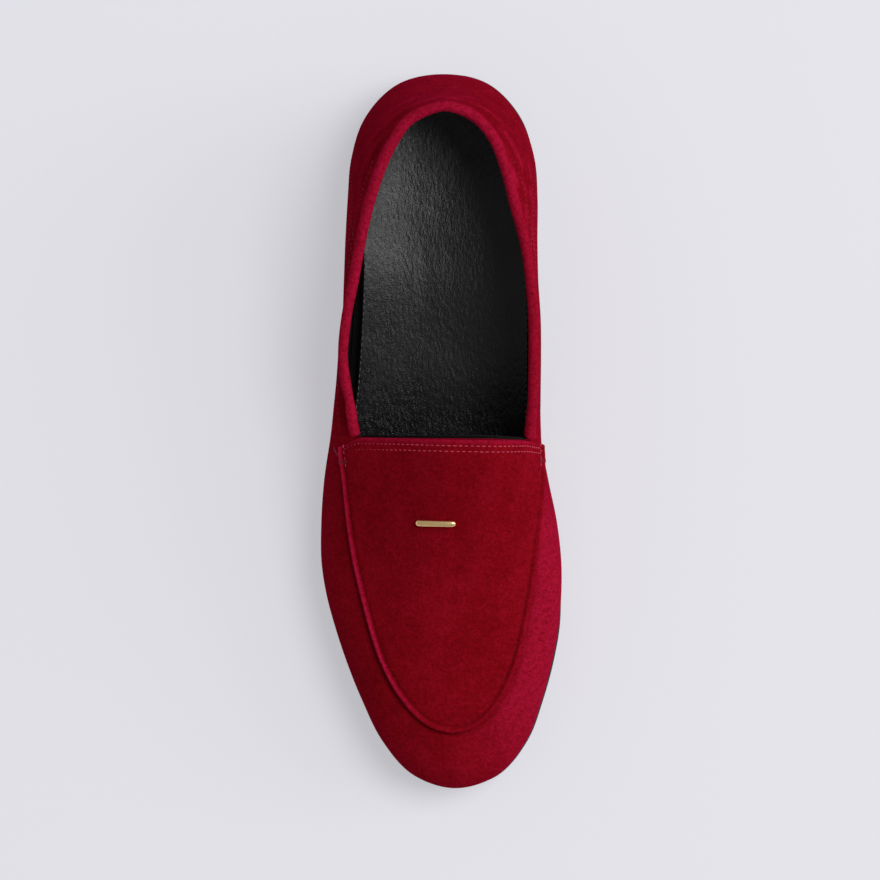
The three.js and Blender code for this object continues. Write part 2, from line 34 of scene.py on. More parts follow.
import bpy
import numpy as np
from bpy.props import FloatProperty, FloatVectorProperty, IntProperty, PointerProperty
from mathutils import Vector

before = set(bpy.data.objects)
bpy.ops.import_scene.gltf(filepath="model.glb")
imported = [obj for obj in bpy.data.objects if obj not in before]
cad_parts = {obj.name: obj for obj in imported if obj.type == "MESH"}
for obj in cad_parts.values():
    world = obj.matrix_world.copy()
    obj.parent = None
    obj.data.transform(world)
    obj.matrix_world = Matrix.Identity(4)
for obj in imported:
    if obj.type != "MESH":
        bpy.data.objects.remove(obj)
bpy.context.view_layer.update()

# ---------------------------------------------------------------- sizes of the shoe, in mm
# Stations s run forward from the back of the heel; x is positive on the inner side.

# Length over all, and the shift that brings the middle of the width to x 0.
LENGTH = 296.0
SHIFT_X = 0.097
# The upper's wall with its lining, its suede alone, and the gap between the two.
WALL = 2.0
SKIN = 1.0
LINING_GAP = 0.1
# The lining stops this far below the collar edge, and behind the suede's edge at the throat.
LINING_DROP = 3.6
LINING_SET_BACK = 0.9
# The upper's lower edge stands in from its widest line; the outsole stands out from that edge.
FEATHER_INSET = 1.7
SOLE_OUTSET = 1.5
# The outsole's gap under the upper, and the recess round it: its depth and its height.
SOLE_GAP = 0.25
SOLE_RECESS = 1.1
SOLE_RECESS_HEIGHT = 1.4
# The outsole shows this much more inside the heel and inside the toe.
HEEL_SHOW = 0.8
TOE_SHOW = 0.75
# The seat, its front end, the lift under it, and the heel's inset. The breast slants from its
# outer to its inner station over x -BREAST_REACH to +BREAST_REACH.
SEAT_Z = 10.0
SEAT_END = 85.0
LIFT_HEIGHT = 2.6
HEEL_INSET = 0.6
BREAST_OUTER = 75.7
BREAST_INNER = 84.0
BREAST_REACH = 38.0
INSOLE_THICKNESS = 3.0
# Height of the sock over the upper's lower edge.
SOCK_TOP = INSOLE_THICKNESS + 0.35
# Rows of the last: the throat, the toe, all the way round, and the row past which the
# instep's rows fan out from one point.
THROAT = 10
TOE = 20
ROUND = 40
FAN_ROW = 16
# Station of the apron's back edge, and the length of one row of the last there.
THROAT_STATION = 151.0
ROW_LENGTH = 17.3
# Rows of stitches at the throat, from the apron's back edge.
THROAT_ROWS = (2.1, 4.4)
# Distances in from the seam line: the rows at the apron's corners, the thread in the groove,
# and the two ends of the corner tacks.
CORNER_ROW = 4.6
GROOVE_THREAD = 3.35
TACK_ENDS = (5.6, 0.5)
# The quarters' stitches are sunk this deep in the suede.
STITCH_DEPTH = 0.15
# Middle of the ornament (x, station), its length and its radius.
ORNAMENT_PLACE = (-0.4, 184.4)
ORNAMENT_LENGTH = 15.5
ORNAMENT_RADIUS = 1.45
# Middle of the picture and its width on the plane through it, in metres.
PICTURE_CENTRE = (0.0, -0.0037, 0.035)
PICTURE_WIDTH = 0.3627

# Rows of the last from heel (0) by throat (10) to toe (20). Columns: widest point (x, s, z),
# shoulder or apron seam (x, s, z), collar edge (x, s, z).
OUTER_SIDE = [
    (0.3, 0.0, 19, 2.0, 9.2, 54, 2.9, 15.7, 82.2),
    (-17.2, 4.0, 23, -12.8, 12.0, 55, -9.8, 20.2, 80.9),
    (-31.7, 19.0, 26, -25.0, 23.4, 56, -17.7, 29.2, 78.9),
    (-37.0, 35.7, 28, -31.6, 38.3, 56, -23.8, 41.8, 76.2),
    (-38.4, 52.2, 29, -34.9, 53.6, 54, -28.9, 57.0, 73.0),
    (-39.2, 68.9, 30, -37.4, 69.6, 52, -32.5, 72.0, 69.2),
    (-39.7, 85.5, 31, -38.7, 86.0, 50, -35.6, 87.0, 65.1),
    (-40.4, 102.1, 32, -39.7, 102.3, 48, -39.0, 102.6, 61.2),
    (-41.5, 118.0, 32, -41.6, 118.0, 46.5, -40.4, 118.5, 57.8),
    (-43.2, 135.1, 30, -41.9, 135.0, 45.5, -37.4, 135.2, 54.4),
    (-45.4, 149.5, 28, -41.4, 150.5, 44.6),
    (-48.4, 168.2, 24, -39.3, 168.5, 43.7),
    (-49.7, 186.0, 22, -37.6, 187.0, 42.9),
    (-49.6, 203.0, 21, -35.2, 203.5, 41.9),
    (-47.6, 216.0, 20, -32.4, 216.5, 41.2),
    (-44.2, 228.7, 20, -29.2, 229.5, 40.5),
    (-39.5, 243.0, 20, -25.2, 241.8, 39.9),
    (-32.8, 259.7, 20.5, -19.0, 254.6, 39.6),
    (-24.5, 276.3, 21, -11.6, 264.3, 39.7),
    (-11.8, 290.4, 21, -4.0, 270.2, 39.9),
    (6.0, LENGTH, 21.3, 5.2, 272.6, 40.0),
]
INNER_SIDE = [
    OUTER_SIDE[0],
    (18.8, 4.0, 23, 16.6, 12.2, 56, 15.4, 20.2, 81.6),
    (33.0, 19.0, 26, 28.6, 23.6, 57.5, 23.8, 30.0, 80.6),
    (38.8, 35.7, 28, 34.4, 38.3, 58, 28.4, 41.8, 78.4),
    (40.0, 52.3, 29, 37.4, 53.8, 57, 32.3, 57.0, 75.4),
    (39.9, 69.0, 30, 39.0, 69.8, 55, 36.5, 72.0, 72.1),
    (40.2, 85.8, 31, 40.2, 86.2, 53, 38.9, 87.0, 69.0),
    (41.0, 102.3, 33, 41.2, 102.4, 51, 40.0, 102.6, 66.8),
    (40.9, 118.0, 34, 41.0, 118.0, 49.8, 40.0, 118.5, 65.2),
    (40.6, 135.1, 33, 41.0, 135.0, 48.4, 39.4, 135.2, 64.3),
    (40.7, 150.5, 30, 41.2, 151.8, 47.0),
    (44.0, 168.2, 25, 41.8, 168.5, 46.0),
    (47.7, 186.0, 23, 40.7, 187.0, 45.0),
    (49.6, 203.0, 21.5, 39.4, 203.5, 43.8),
    (49.6, 216.0, 21, 37.8, 216.5, 42.8),
    (48.6, 228.7, 20.5, 35.6, 229.5, 42.0),
    (46.1, 243.0, 20.5, 32.6, 241.8, 41.3),
    (41.6, 259.7, 20.5, 27.6, 254.6, 40.7),
    (35.3, 276.3, 21, 20.8, 264.8, 40.3),
    (22.9, 290.8, 21, 13.4, 270.6, 40.1),
    OUTER_SIDE[20],
]
# Crest of the instep. Columns: row, x, s.
CREST_LINE = [
    (10, 7.0, 151.4), (11, 6.4, 168.5), (12, 5.6, 187.0), (13, 5.0, 203.5),
    (14, 4.6, 216.5), (15, 4.2, 229.5), (16, 4.0, 244.0),
]
# Height of the crest under the apron. Columns: s, z.
CREST_HEIGHT = [
    (151.4, 84.4), (160.1, 80.6), (168, 76.1), (175.9, 71.3), (183.8, 67.0), (191.7, 62.9),
    (199.6, 58.8), (207.5, 55.1), (215.5, 52.1), (223.5, 49.8), (231.5, 47.7), (239.6, 46.0),
    (247.7, 44.5), (255.7, 43.2), (263.8, 41.9), (273, 40.0),
]
# Fullness of the arch. Columns: row, outer side, inner side.
FULLNESS = [
    (10, 1.57, 3.8), (11, 1.72, 3.0), (12, 1.85, 2.45), (13, 1.95, 2.15), (14, 2.0, 2.0),
    (20, 2.0, 2.0),
]
# Share of the instep's half width where the collar meets it: outer side, inner side.
COLLAR_MEET = (0.85, 0.89)
# Lower edge of the upper. Columns: s, z.
FEATHER_HEIGHT = [
    (0, 16.0), (24, 16.6), (60, 16.7), (88.7, 15.9), (107, 13.6), (125, 11.2), (141.6, 8.9),
    (155.9, 7.0), (171.4, 6.1), (201.3, 5.7), (226.7, 6.8), (241.5, 8.6), (258.5, 10.7),
    (279, 12.9), (296, 15.2),
]
# Underside of the outsole. Columns: s, z.
TREAD_HEIGHT = [
    (0, SEAT_Z), (SEAT_END, SEAT_Z), (93, 9.0), (103.4, 7.7), (115.4, 6.1), (131.3, 3.9),
    (147.2, 1.7), (160, 0), (205, 0), (225, 1.2), (244, 3.0), (268.5, 5.4), (285.7, 7.4),
    (296, 9.4),
]

# ---------------------------------------------------------------- curves


def smooth(a, b, v):
    """Eased step from 0 at a to 1 at b."""
    k = np.clip((np.asarray(v, float) - a) / (b - a), 0, 1)
    return k * k * (3 - 2 * k)


def unit(v):
    v = np.asarray(v, float)
    return v / np.maximum(np.linalg.norm(v, axis=-1, keepdims=True), 1e-12)


def bend(a, b, ta, tb, k):
    """Curve from a to b with those tangents, at shares k."""
    k = np.asarray(k, float)[..., None]
    k2, k3 = k * k, k * k * k
    return (a * (2 * k3 - 3 * k2 + 1) + ta * (k3 - 2 * k2 + k)
            + b * (3 * k2 - 2 * k3) + tb * (k3 - k2))


class Track:
    """Smooth curve through rows of values at rising knots."""

    def __init__(self, knots, rows):
        self.knots = np.asarray(knots, float)
        self.rows = np.asarray(rows, float)
        h = np.diff(self.knots)[:, None]
        slope = np.diff(self.rows, axis=0) / h
        self.tangents = np.empty_like(self.rows)
        self.tangents[0], self.tangents[-1] = slope[0], slope[-1]
        self.tangents[1:-1] = (slope[:-1] * h[1:] + slope[1:] * h[:-1]) / (h[1:] + h[:-1])

    def __call__(self, knot):
        knot = np.asarray(knot, float)
        i = np.clip(np.searchsorted(self.knots, knot, side="right") - 1, 0, len(self.knots) - 2)
        h = self.knots[i + 1] - self.knots[i]
        k = np.clip((knot - self.knots[i]) / h, 0, 1)
        return bend(self.rows[i], self.rows[i + 1], self.tangents[i] * h[..., None],
                    self.tangents[i + 1] * h[..., None], k)


def table_track(table):
    return Track([row[0] for row in table], [row[1:] for row in table])


crest_line = table_track(CREST_LINE)
crest_height_track = table_track(CREST_HEIGHT)
fullness = table_track(FULLNESS)
feather_track = table_track(FEATHER_HEIGHT)
tread_track = table_track(TREAD_HEIGHT)


def crest_height(s):
    return crest_height_track(s)[..., 0]


def feather_height(s):
    return feather_track(s)[..., 0]


def tread_height(s):
    """Underside of the outsole: level under the seat and on the floor."""
    s = np.asarray(s, float)
    z = np.maximum(0, tread_track(s)[..., 0])
    z = np.where((s > 160) & (s < 205), 0, z)
    return np.where(s < SEAT_END, SEAT_Z, z)


def row_at(i):
    """Row of the last at a whole round position."""
    n = i % ROUND
    return OUTER_SIDE[n] if n <= TOE else INNER_SIDE[ROUND - n]


class LoopTrack:
    """Curve round the shoe through one point of each row."""

    def __init__(self, first, start, end):
        rows = [row_at(i) for i in range(start, end + 1)]
        steps = [math.hypot(b[0] - a[0], b[1] - a[1]) for a, b in zip(rows, rows[1:])]
        self.start, self.count = start, len(steps)
        self.knots = np.concatenate([[0], np.cumsum(steps)])
        self.curve = Track(self.knots, [row[first:first + 3] for row in rows])

    def __call__(self, q):
        q = np.asarray(q, float) - self.start
        i = np.clip(np.floor(q).astype(int), 0, self.count - 1)
        return self.curve(self.knots[i] + (self.knots[i + 1] - self.knots[i]) * (q - i))


widest = LoopTrack(0, -3, ROUND + 3)
shoulder = LoopTrack(3, -3, ROUND + 3)


def half_row(q):
    q = np.asarray(q, float)
    return np.where(q <= TOE, q, ROUND - q)


def on_outer(q):
    return np.asarray(q, float) <= TOE


def instep(q, share):
    """Point over the instep, from the crest (share 0) to the apron seam (share 1)."""
    q, share = np.broadcast_arrays(np.asarray(q, float), np.asarray(share, float))
    row = half_row(q)
    crest = crest_line(np.minimum(row, FAN_ROW))
    seam = shoulder(q)
    power = np.where(on_outer(q), fullness(row)[..., 0], fullness(row)[..., 1])
    x = crest[..., 0] + (seam[..., 0] - crest[..., 0]) * share
    s = crest[..., 1] + (seam[..., 1] - crest[..., 1]) * share
    fall = crest_height(seam[..., 1]) - seam[..., 2]
    z = crest_height(s) - fall * np.maximum(share, 0) ** power
    return np.stack([x, s, z], axis=-1)


def meet_share(q):
    return np.where(on_outer(q), COLLAR_MEET[0], COLLAR_MEET[1])


OUTER_SIDE[THROAT] += tuple(instep(THROAT, COLLAR_MEET[0]))
INNER_SIDE[THROAT] += tuple(instep(ROUND - THROAT, COLLAR_MEET[1]))
collar = LoopTrack(6, -THROAT, THROAT)


def collar_at(q):
    q = np.asarray(q, float)
    return collar(np.where(q <= TOE, q, q - ROUND))


def outward(q):
    """Level way out of the shoe."""
    q = np.asarray(q, float)
    d = widest(q + 0.02) - widest(q - 0.02)
    return unit(np.stack([-d[..., 1], d[..., 0], 0 * d[..., 0]], axis=-1))


def feather(q, inset=FEATHER_INSET):
    """Place on the line of the upper's lower edge, that far in from the widest line."""
    p = widest(q) - outward(q) * inset
    p[..., 2] = feather_height(p[..., 1])
    return p


def seam_direction(q):
    """Way in over the instep at the apron seam, never flatter than 0.4."""
    d = instep(q, 0.99) - instep(q, 1)
    level = np.hypot(d[..., 0], d[..., 1])
    d[..., 2] = np.maximum(d[..., 2], level * 0.4)
    return unit(d)


def shoulder_direction(q):
    """Way up along the wall at the shoulder, turned in over the instep by the throat."""
    near = smooth(THROAT - 2, THROAT, half_row(q))[..., None]
    chord = unit(collar_at(q) - widest(q))
    return unit(chord * (1 - near) + seam_direction(q) * near)


def wall(q, v):
    """Wall from the feather edge (0) by the widest line (1) to the shoulder (2)."""
    q = np.asarray(q, float)
    w = widest(q)
    if v <= 1:
        f = feather(q)
        span = np.linalg.norm(w - f, axis=-1, keepdims=True)
        start = outward(q) * 0.5 * span
        start[..., 2] = 0.85 * span[..., 0]
        end = np.zeros_like(w)
        end[..., 2] = span[..., 0]
        return bend(f, w, start, end, np.full(q.shape, float(v)))
    sh = shoulder(q)
    span = np.linalg.norm(sh - w, axis=-1, keepdims=True) * 1.08
    start = np.zeros_like(w)
    start[..., 2] = span[..., 0]
    return bend(w, sh, start, shoulder_direction(q) * span, np.full(q.shape, float(v - 1)))


def quarter(q, v):
    """Wall from the shoulder (0) to the collar edge (1)."""
    q = np.asarray(q, float)
    sh, top = shoulder(q), collar_at(q)
    chord = top - sh
    span = np.linalg.norm(chord, axis=-1, keepdims=True)
    near = smooth(THROAT - 2, THROAT, half_row(q))[..., None]
    share = meet_share(q)
    cap = unit(instep(q, share - 0.01) - instep(q, share))
    end = unit(unit(chord) * (1 - near) + cap * near)
    v = np.broadcast_to(np.asarray(v, float), q.shape)
    return bend(sh, top, shoulder_direction(q) * span, end * span, v)


# ---------------------------------------------------------------- meshes


def place(points):
    """Row frame in metres from (x, station, z) in mm."""
    p = np.asarray(points, float)
    return np.stack([p[..., 0] + SHIFT_X, LENGTH / 2 - p[..., 1], p[..., 2]], axis=-1) * 0.001


def signed_volume(points, faces):
    """Volume inside the faces, negative where they look inwards."""
    fans = [(f[0], f[i], f[i + 1]) for f in faces for i in range(1, len(f) - 1)]
    a, b, c = (points[k] for k in np.array(fans).T)
    return float(np.sum(a * np.cross(b, c)))


def add_piece(name, points, faces, material, replaces=(), rub=None):
    """Makes a closed mesh of points in mm, with its faces turned outwards, and seats it.
    Its last argument gives each point painted highlight (1) or painted shade (-1) on the suede,
    with faint nap tone bands."""
    co = place(points)
    if signed_volume(co, faces) < 0:
        faces = [tuple(reversed(f)) for f in faces]
    mesh = bpy.data.meshes.new(name)
    mesh.from_pydata(co.tolist(), [], faces)
    mesh.validate()
    mesh.update()
    mesh.polygons.foreach_set("use_smooth", [True] * len(mesh.polygons))
    if rub is not None:
        values = mesh.attributes.new("rub", "FLOAT", "POINT")
        values.data.foreach_set("value", np.asarray(rub, float))
    piece = bpy.data.objects.new(name, mesh)
    bpy.context.scene.collection.objects.link(piece)
    mesh.materials.append(material)
    seat(piece, replaces)


def seat(piece, replaces=()):
    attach(piece, "root")
    if replaces:
        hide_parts(*replaces)


class Grid:
    """Points and faces of a surface that is built column by column."""

    def __init__(self):
        self.points = []
        self.tags = []
        self.faces = []

    def put(self, p, tag=(0.0, 0.0)):
        """Adds a point with two numbers of its own."""
        self.points.append(p)
        self.tags.append(tag)
        return len(self.points) - 1

    def face(self, *ids):
        kept = tuple(dict.fromkeys(ids))
        if len(kept) > 2:
            self.faces.append(kept)

    def normals(self):
        """Way out of the surface at each point."""
        p = np.asarray(self.points)
        total = np.zeros_like(p)
        for size in (3, 4):
            f = np.array([face for face in self.faces if len(face) == size])
            if len(f) == 0:
                continue
            n = np.cross(p[f[:, 2]] - p[f[:, 0]], p[f[:, -1]] - p[f[:, 1]])
            for corner in range(size):
                np.add.at(total, f[:, corner], n)
        # Stations run against +Y, so the product points inwards.
        return -unit(total)


def shell(grid, outer, inner, rims):
    """Closed solid between two copies of a grid; rims are closed rings of its point numbers."""
    n = len(outer)
    faces = list(grid.faces) + [tuple(i + n for i in reversed(f)) for f in grid.faces]
    for ring in rims:
        for a, b in zip(ring, ring[1:] + ring[:1]):
            faces.append((a, a + n, b + n, b))
    return np.concatenate([outer, inner]), faces


def loop_columns(step):
    """Round positions from the back by the outer side and the toe, and back again."""
    side = list(np.arange(0, TOE + 1e-6, step))
    return np.array(side + [ROUND - r for r in reversed(side[1:-1])])


def band_faces(rings, count):
    """Faces between rings of points that follow one another."""
    faces = []
    for a in range(0, (rings - 1) * count, count):
        b = a + count
        for i in range(count):
            n = (i + 1) % count
            faces.append((a + i, a + n, b + n, b + i))
    return faces


def lid_faces(base, count):
    """Faces across a ring that starts at the back and comes back round."""
    half = count // 2
    faces = []
    for i in range(half):
        corners = dict.fromkeys((i, i + 1, (count - i - 1) % count, (count - i) % count))
        if len(corners) > 2:
            faces.append(tuple(base + corner for corner in corners))
    return faces


def under_faces(count):
    """The lid of the first ring, which looks the other way."""
    return [face[::-1] for face in lid_faces(0, count)]


def ladder(loops):
    """Closed solid through loops that start at the back and come back round."""
    count = len(loops[0])
    faces = band_faces(len(loops), count) + under_faces(count)
    faces += lid_faces((len(loops) - 1) * count, count)
    return np.concatenate(loops), faces


# ---------------------------------------------------------------- shader maths


class Signal:
    """A value in a material's nodes; sums and products of it add Math nodes."""

    def __init__(self, tree, socket):
        self.tree = tree
        self.socket = socket

    def math(self, operation, *others):
        node = self.tree.nodes.new("ShaderNodeMath")
        node.operation = operation
        for i, value in enumerate(others):
            if isinstance(value, Signal):
                self.tree.links.new(value.socket, node.inputs[i])
            else:
                node.inputs[i].default_value = value
        return Signal(self.tree, node.outputs[0])

    def __add__(self, other):
        return self.math("ADD", self, other)

    __radd__ = __add__

    def __sub__(self, other):
        return self.math("SUBTRACT", self, other)

    def __rsub__(self, other):
        return self.math("SUBTRACT", other, self)

    def __mul__(self, other):
        return self.math("MULTIPLY", self, other)

    __rmul__ = __mul__

    def clamp(self, low=0.0, high=1.0):
        return self.math("MINIMUM", self.math("MAXIMUM", self, low), high)


class Finish:
    """A material and the nodes that give its colour, roughness and relief."""

    def __init__(self, name, **constants):
        self.material = bpy.data.materials.new(name)
        self.material.use_nodes = True
        self.tree = self.material.node_tree
        self.shader = next(n for n in self.tree.nodes if n.type == "BSDF_PRINCIPLED")
        for socket, value in constants.items():
            self.shader.inputs[socket.replace("_", " ")].default_value = value
        self.place = self.node("ShaderNodeTexCoord", output="Object")

    def node(self, kind, settings=None, values=None, output=0):
        """One output of a new node, after its settings and the values of its sockets."""
        node = self.tree.nodes.new(kind)
        for key, value in (settings or {}).items():
            if key == "stops":
                ramp = node.color_ramp.elements
                while len(ramp) < len(value):
                    ramp.new(0.5)
                for stop, (position, colour) in zip(ramp, value):
                    stop.position = position
                    stop.color = colour
            else:
                setattr(node, key, value)
        for key, value in (values or {}).items():
            socket = node.inputs[key]
            if isinstance(value, Signal):
                self.tree.links.new(value.socket, socket)
            else:
                socket.default_value = value
        return Signal(self.tree, node.outputs[output])

    def stretched(self, scale, turn=(0, 0, 0)):
        return self.node("ShaderNodeMapping", values={
            "Vector": self.place, "Scale": scale, "Rotation": turn})

    def noise(self, scale, detail, rough=0.5, at=None, kind="FBM", distort=0.0):
        return self.node("ShaderNodeTexNoise", {"noise_type": kind}, {
            "Vector": at or self.place, "Scale": scale, "Detail": detail,
            "Roughness": rough, "Distortion": distort}, output="Fac")

    def cells(self, scale):
        return self.node("ShaderNodeTexVoronoi", {"feature": "DISTANCE_TO_EDGE"}, {
            "Vector": self.place, "Scale": scale}, output="Distance")

    def mix(self, factor, a, b):
        return self.node("ShaderNodeMix", {"data_type": "RGBA"}, {0: factor, 6: a, 7: b},
                         output=2)

    def ramp(self, factor, stops):
        return self.node("ShaderNodeValToRGB", {"stops": stops}, {"Fac": factor}, output="Color")

    def band(self, signal, low, high):
        return self.node("ShaderNodeMapRange", {"interpolation_type": "SMOOTHSTEP"}, {
            "Value": signal, "From Min": low, "From Max": high})

    def feed(self, socket, signal):
        self.tree.links.new(signal.socket, self.shader.inputs[socket])

    def relief(self, height, distance, strength, under=None):
        values = {"Height": height, "Distance": distance, "Strength": strength}
        if under is not None:
            values["Normal"] = under
        return self.node("ShaderNodeBump", values=values)


def shade(colour, share):
    """A share of a colour, opaque."""
    return tuple(c * share for c in colour[:3]) + (1,)


def suede_finish(name, deep, mid, lit, painted_light):
    """Nap with fibres between deep and lit; a point attribute mixes in painted highlight and
    painted shade.
    """
    f = Finish(name, Sheen_Weight=0.11, Sheen_Roughness=0.45, Sheen_Tint=(0.9, 0.012, 0.14, 1),
               Specular_IOR_Level=0.0)
    hanging = f.stretched((1.0, 1.0, 0.45))
    rub = f.node("ShaderNodeAttribute", {"attribute_name": "rub"}, output="Fac")
    cloud = f.noise(22, 3, 0.55)
    brushed = f.noise(60, 3, 0.6, at=f.stretched((1.0, 0.28, 1.0), (0, 0, 0.5)))
    patch = f.noise(150, 3, 0.6, at=hanging)
    nap = f.noise(620, 2, 0.6, at=hanging)
    fibre = f.noise(1500, 2, 0.7, at=hanging)
    tone = cloud * 0.25 + brushed * 0.3 + patch * 0.35 + nap * 0.6 + fibre * 0.7
    base = f.ramp(f.band(tone, 0.52, 1.68), [(0.0, deep), (0.5, mid), (1.0, lit)])
    # Painted highlight: towards the highlight colour where the point attribute is above 0.
    light = f.mix((rub * 1.9 * (fibre + nap - 0.55).clamp()).clamp(), base, painted_light)
    # Painted shade: towards deep where the point attribute is below 0.
    f.feed("Base Color", f.mix((rub * -0.75).clamp(), light, deep))
    f.feed("Roughness", (0.86 + 0.14 * fibre).clamp())
    soft = f.relief(patch, 0.0008, 0.35)
    fine = f.relief(fibre + nap * 0.8, 0.0004, 0.8, under=soft)
    f.feed("Normal", fine)
    return f.material


def grain_finish(name, dark, light, rough, grain, relief, streak=0.0):
    """Smooth black leather with a fine pebble grain, streaked where it is drawn."""
    f = Finish(name, Specular_IOR_Level=0.17)
    pebble = f.band(f.cells(grain), 0.0, 0.28)
    wear = f.noise(45, 4, 0.6)
    fine = f.noise(grain * 2.2, 2, 0.6)
    f.feed("Base Color", f.mix((wear * 0.7 + fine * 0.3).clamp(), dark, light))
    f.feed("Roughness", (rough - 0.12 + 0.22 * wear + 0.1 * fine).clamp(0.05, 1.0))
    height = pebble * 0.6 + fine * 0.4
    if streak:
        lines = f.noise(500, 2, 0.6, at=f.stretched((0.4, 0.05, 1.6)))
        height = height + lines * streak
    f.feed("Normal", f.relief(height, relief, 0.6))
    return f.material


def sock_finish(name):
    """Polished black leather, wrinkled, with uneven wear."""
    f = Finish(name, Specular_IOR_Level=0.27)
    wear = f.noise(28, 4, 0.6)
    streak = f.noise(820, 2, 0.5, at=f.stretched((1.0, 0.4, 1.0)))
    creases = f.noise(38, 4, 0.55, at=f.stretched((1.0, 0.55, 1.0), (0, 0, 0.35)),
                      kind="RIDGED_MULTIFRACTAL", distort=0.6)
    pebble = f.band(f.cells(1250), 0.0, 0.3)
    pores = f.noise(2600, 2, 0.6)
    tone = (wear * 0.55 + pores * 0.25 + pebble * 0.2).clamp()
    f.feed("Base Color", f.mix(tone, (0.0015, 0.0015, 0.0016, 1), (0.007, 0.007, 0.0074, 1)))
    cloud = f.noise(11, 3, 0.6)
    f.feed("Roughness", (0.03 + 0.2 * wear + 0.24 * cloud + 0.1 * pores).clamp())
    wrinkle = f.relief(creases, 0.0012, 0.6)
    soft = f.relief(wear, 0.0016, 0.35, under=wrinkle)
    f.feed("Normal", f.relief(pebble * 0.15 + streak, 0.0003, 0.7, under=soft))
    return f.material


def thread_finish(name, colour, dark):
    """Twisted thread, with painted shade between its strands."""
    f = Finish(name, Roughness=0.6, Specular_IOR_Level=0.15)
    twist = f.noise(3800, 2, 0.6)
    f.feed("Base Color", f.mix(f.band(twist, 0.3, 0.7), dark, colour))
    f.feed("Normal", f.relief(twist, 0.00012, 0.6))
    return f.material


def gold_finish(name):
    """Polished gold plate."""
    f = Finish(name, Metallic=1.0)
    wear = f.noise(260, 3, 0.6)
    f.feed("Base Color", f.mix(wear, (0.9, 0.58, 0.22, 1), (1.0, 0.75, 0.4, 1)))
    f.feed("Roughness", (0.2 + 0.12 * wear).clamp())
    f.feed("Normal", f.relief(f.noise(900, 2), 0.00005, 0.3))
    return f.material


def heel_finish(name, underside=False):
    """Heel leather, inked black round the outside and brown on the breast."""
    f = Finish(name, Specular_IOR_Level=0.2)
    mottle = f.noise(140, 4, 0.6)
    axis = f.node("ShaderNodeSeparateXYZ", values={"Vector": f.place})
    x, y, z = (Signal(f.tree, axis.socket.node.outputs[i]) for i in range(3))
    slant = (BREAST_INNER - BREAST_OUTER) / (2 * BREAST_REACH)
    front = (LENGTH / 2 - BREAST_OUTER - BREAST_REACH * slant) * 0.001 - x * slant
    bare = f.band(front - y, -0.0016, -0.0009)
    if underside:
        bare = (bare + f.band(z * -1.0, -0.0003, -0.0001)).clamp()
    brown = f.mix(mottle, (0.045, 0.015, 0.01, 1), (0.12, 0.045, 0.028, 1))
    ink = f.mix(mottle, (0.003, 0.003, 0.0035, 1), (0.014, 0.014, 0.015, 1))
    f.feed("Base Color", f.mix(bare, ink, brown))
    f.feed("Roughness", (0.5 + 0.25 * mottle).clamp())
    f.feed("Normal", f.relief(f.noise(900, 3), 0.00015, 0.5))
    return f.material


def floor_finish(name, colour):
    """Pale floor, lit softly from below like a light table."""
    f = Finish(name, Roughness=0.7, Specular_IOR_Level=0.2, Emission_Color=shade(colour, 1),
               Emission_Strength=0.92)
    drift = f.noise(1.4, 2)
    f.feed("Base Color", f.mix(drift, shade(colour, 0.69), shade(colour, 0.7)))
    return f.material


# ---------------------------------------------------------------- folds in the suede

# Soft creases. Columns: places (round row, height share) along it, width, depth.
CREASES = [
    # from the kink of the collar down and forward to the throat corner
    (((8.75, 1.0), (9.05, 0.72), (9.35, 0.4), (9.75, 0.1)), 3.6, 0.8),
    (((9.5, 0.95), (9.6, 0.6), (9.8, 0.3)), 3.0, 0.3),
    (((7.6, 0.75), (8.2, 0.5), (8.8, 0.1)), 5.0, 0.35),
    # round the back of the heel, below the roll
    (((3.6, 0.6), (2.2, 0.66), (1.0, 0.7), (0.2, 0.72)), 4.2, 0.5),
    (((2.6, 0.3), (1.6, 0.36), (0.7, 0.42)), 3.4, 0.4),
    (((39.6, 0.62), (38.9, 0.6), (38.1, 0.55), (37.4, 0.45)), 3.8, 0.6),
    (((39.0, 0.3), (38.2, 0.2), (37.6, 0.0)), 3.6, 0.4),
    (((37.6, 0.75), (36.9, 0.4), (36.4, 0.0), (36.2, -0.5)), 4.4, 0.6),
    (((36.6, 0.7), (35.8, 0.45), (35.1, 0.2)), 4.0, 0.35),
    (((34.6, 0.7), (33.6, 0.5), (32.6, 0.3)), 5.0, 0.4),
    (((4.6, 0.7), (5.6, 0.45), (6.4, 0.1)), 5.0, 0.4),
]
# Points along each crease.
CREASE_POINTS = 24


def upper_point(q, level):
    """Point of the upper's outer face: level 0 to 2 up the wall, 2 to 3 on to the collar."""
    q = np.asarray(q, float)
    if level <= 2:
        return wall(q, level)
    return quarter(q, level - 2)


def through(places, count):
    """Points along a smooth line through a table's places."""
    return Track(np.arange(len(places)), places)(np.linspace(0, len(places) - 1, count))


def crease_lines():
    """Points along each crease, its strength at them, its width and its depth."""
    lines = []
    strength = np.sin(np.pi * np.linspace(0.03, 0.97, CREASE_POINTS)) ** 0.7
    for places, width, depth in CREASES:
        points = np.array([upper_point(np.array([q]), 2 + h)[0]
                           for q, h in through(places, CREASE_POINTS)])
        lines.append((points, strength, width, depth))
    return lines


def nearest(points, line):
    """Distance from each point to the nearest of the line's points, and that one's number."""
    best = np.full(len(points), 1e9)
    which = np.zeros(len(points), int)
    for i, p in enumerate(line):
        d = np.linalg.norm(points - p, axis=1)
        which = np.where(d < best, i, which)
        best = np.minimum(best, d)
    return best, which


def crease_depth(points, lines):
    """How far the surface sinks at each point."""
    total = np.zeros(len(points))
    for line, strength, width, depth in lines:
        d, which = nearest(points, line)
        x = d / width
        dip = np.exp(-x * x * 2.2) - 0.36 * np.exp(-((x - 1.5) ** 2) * 2.4)
        total += depth * strength[which] * dip
    return total


# ---------------------------------------------------------------- the panels' grids


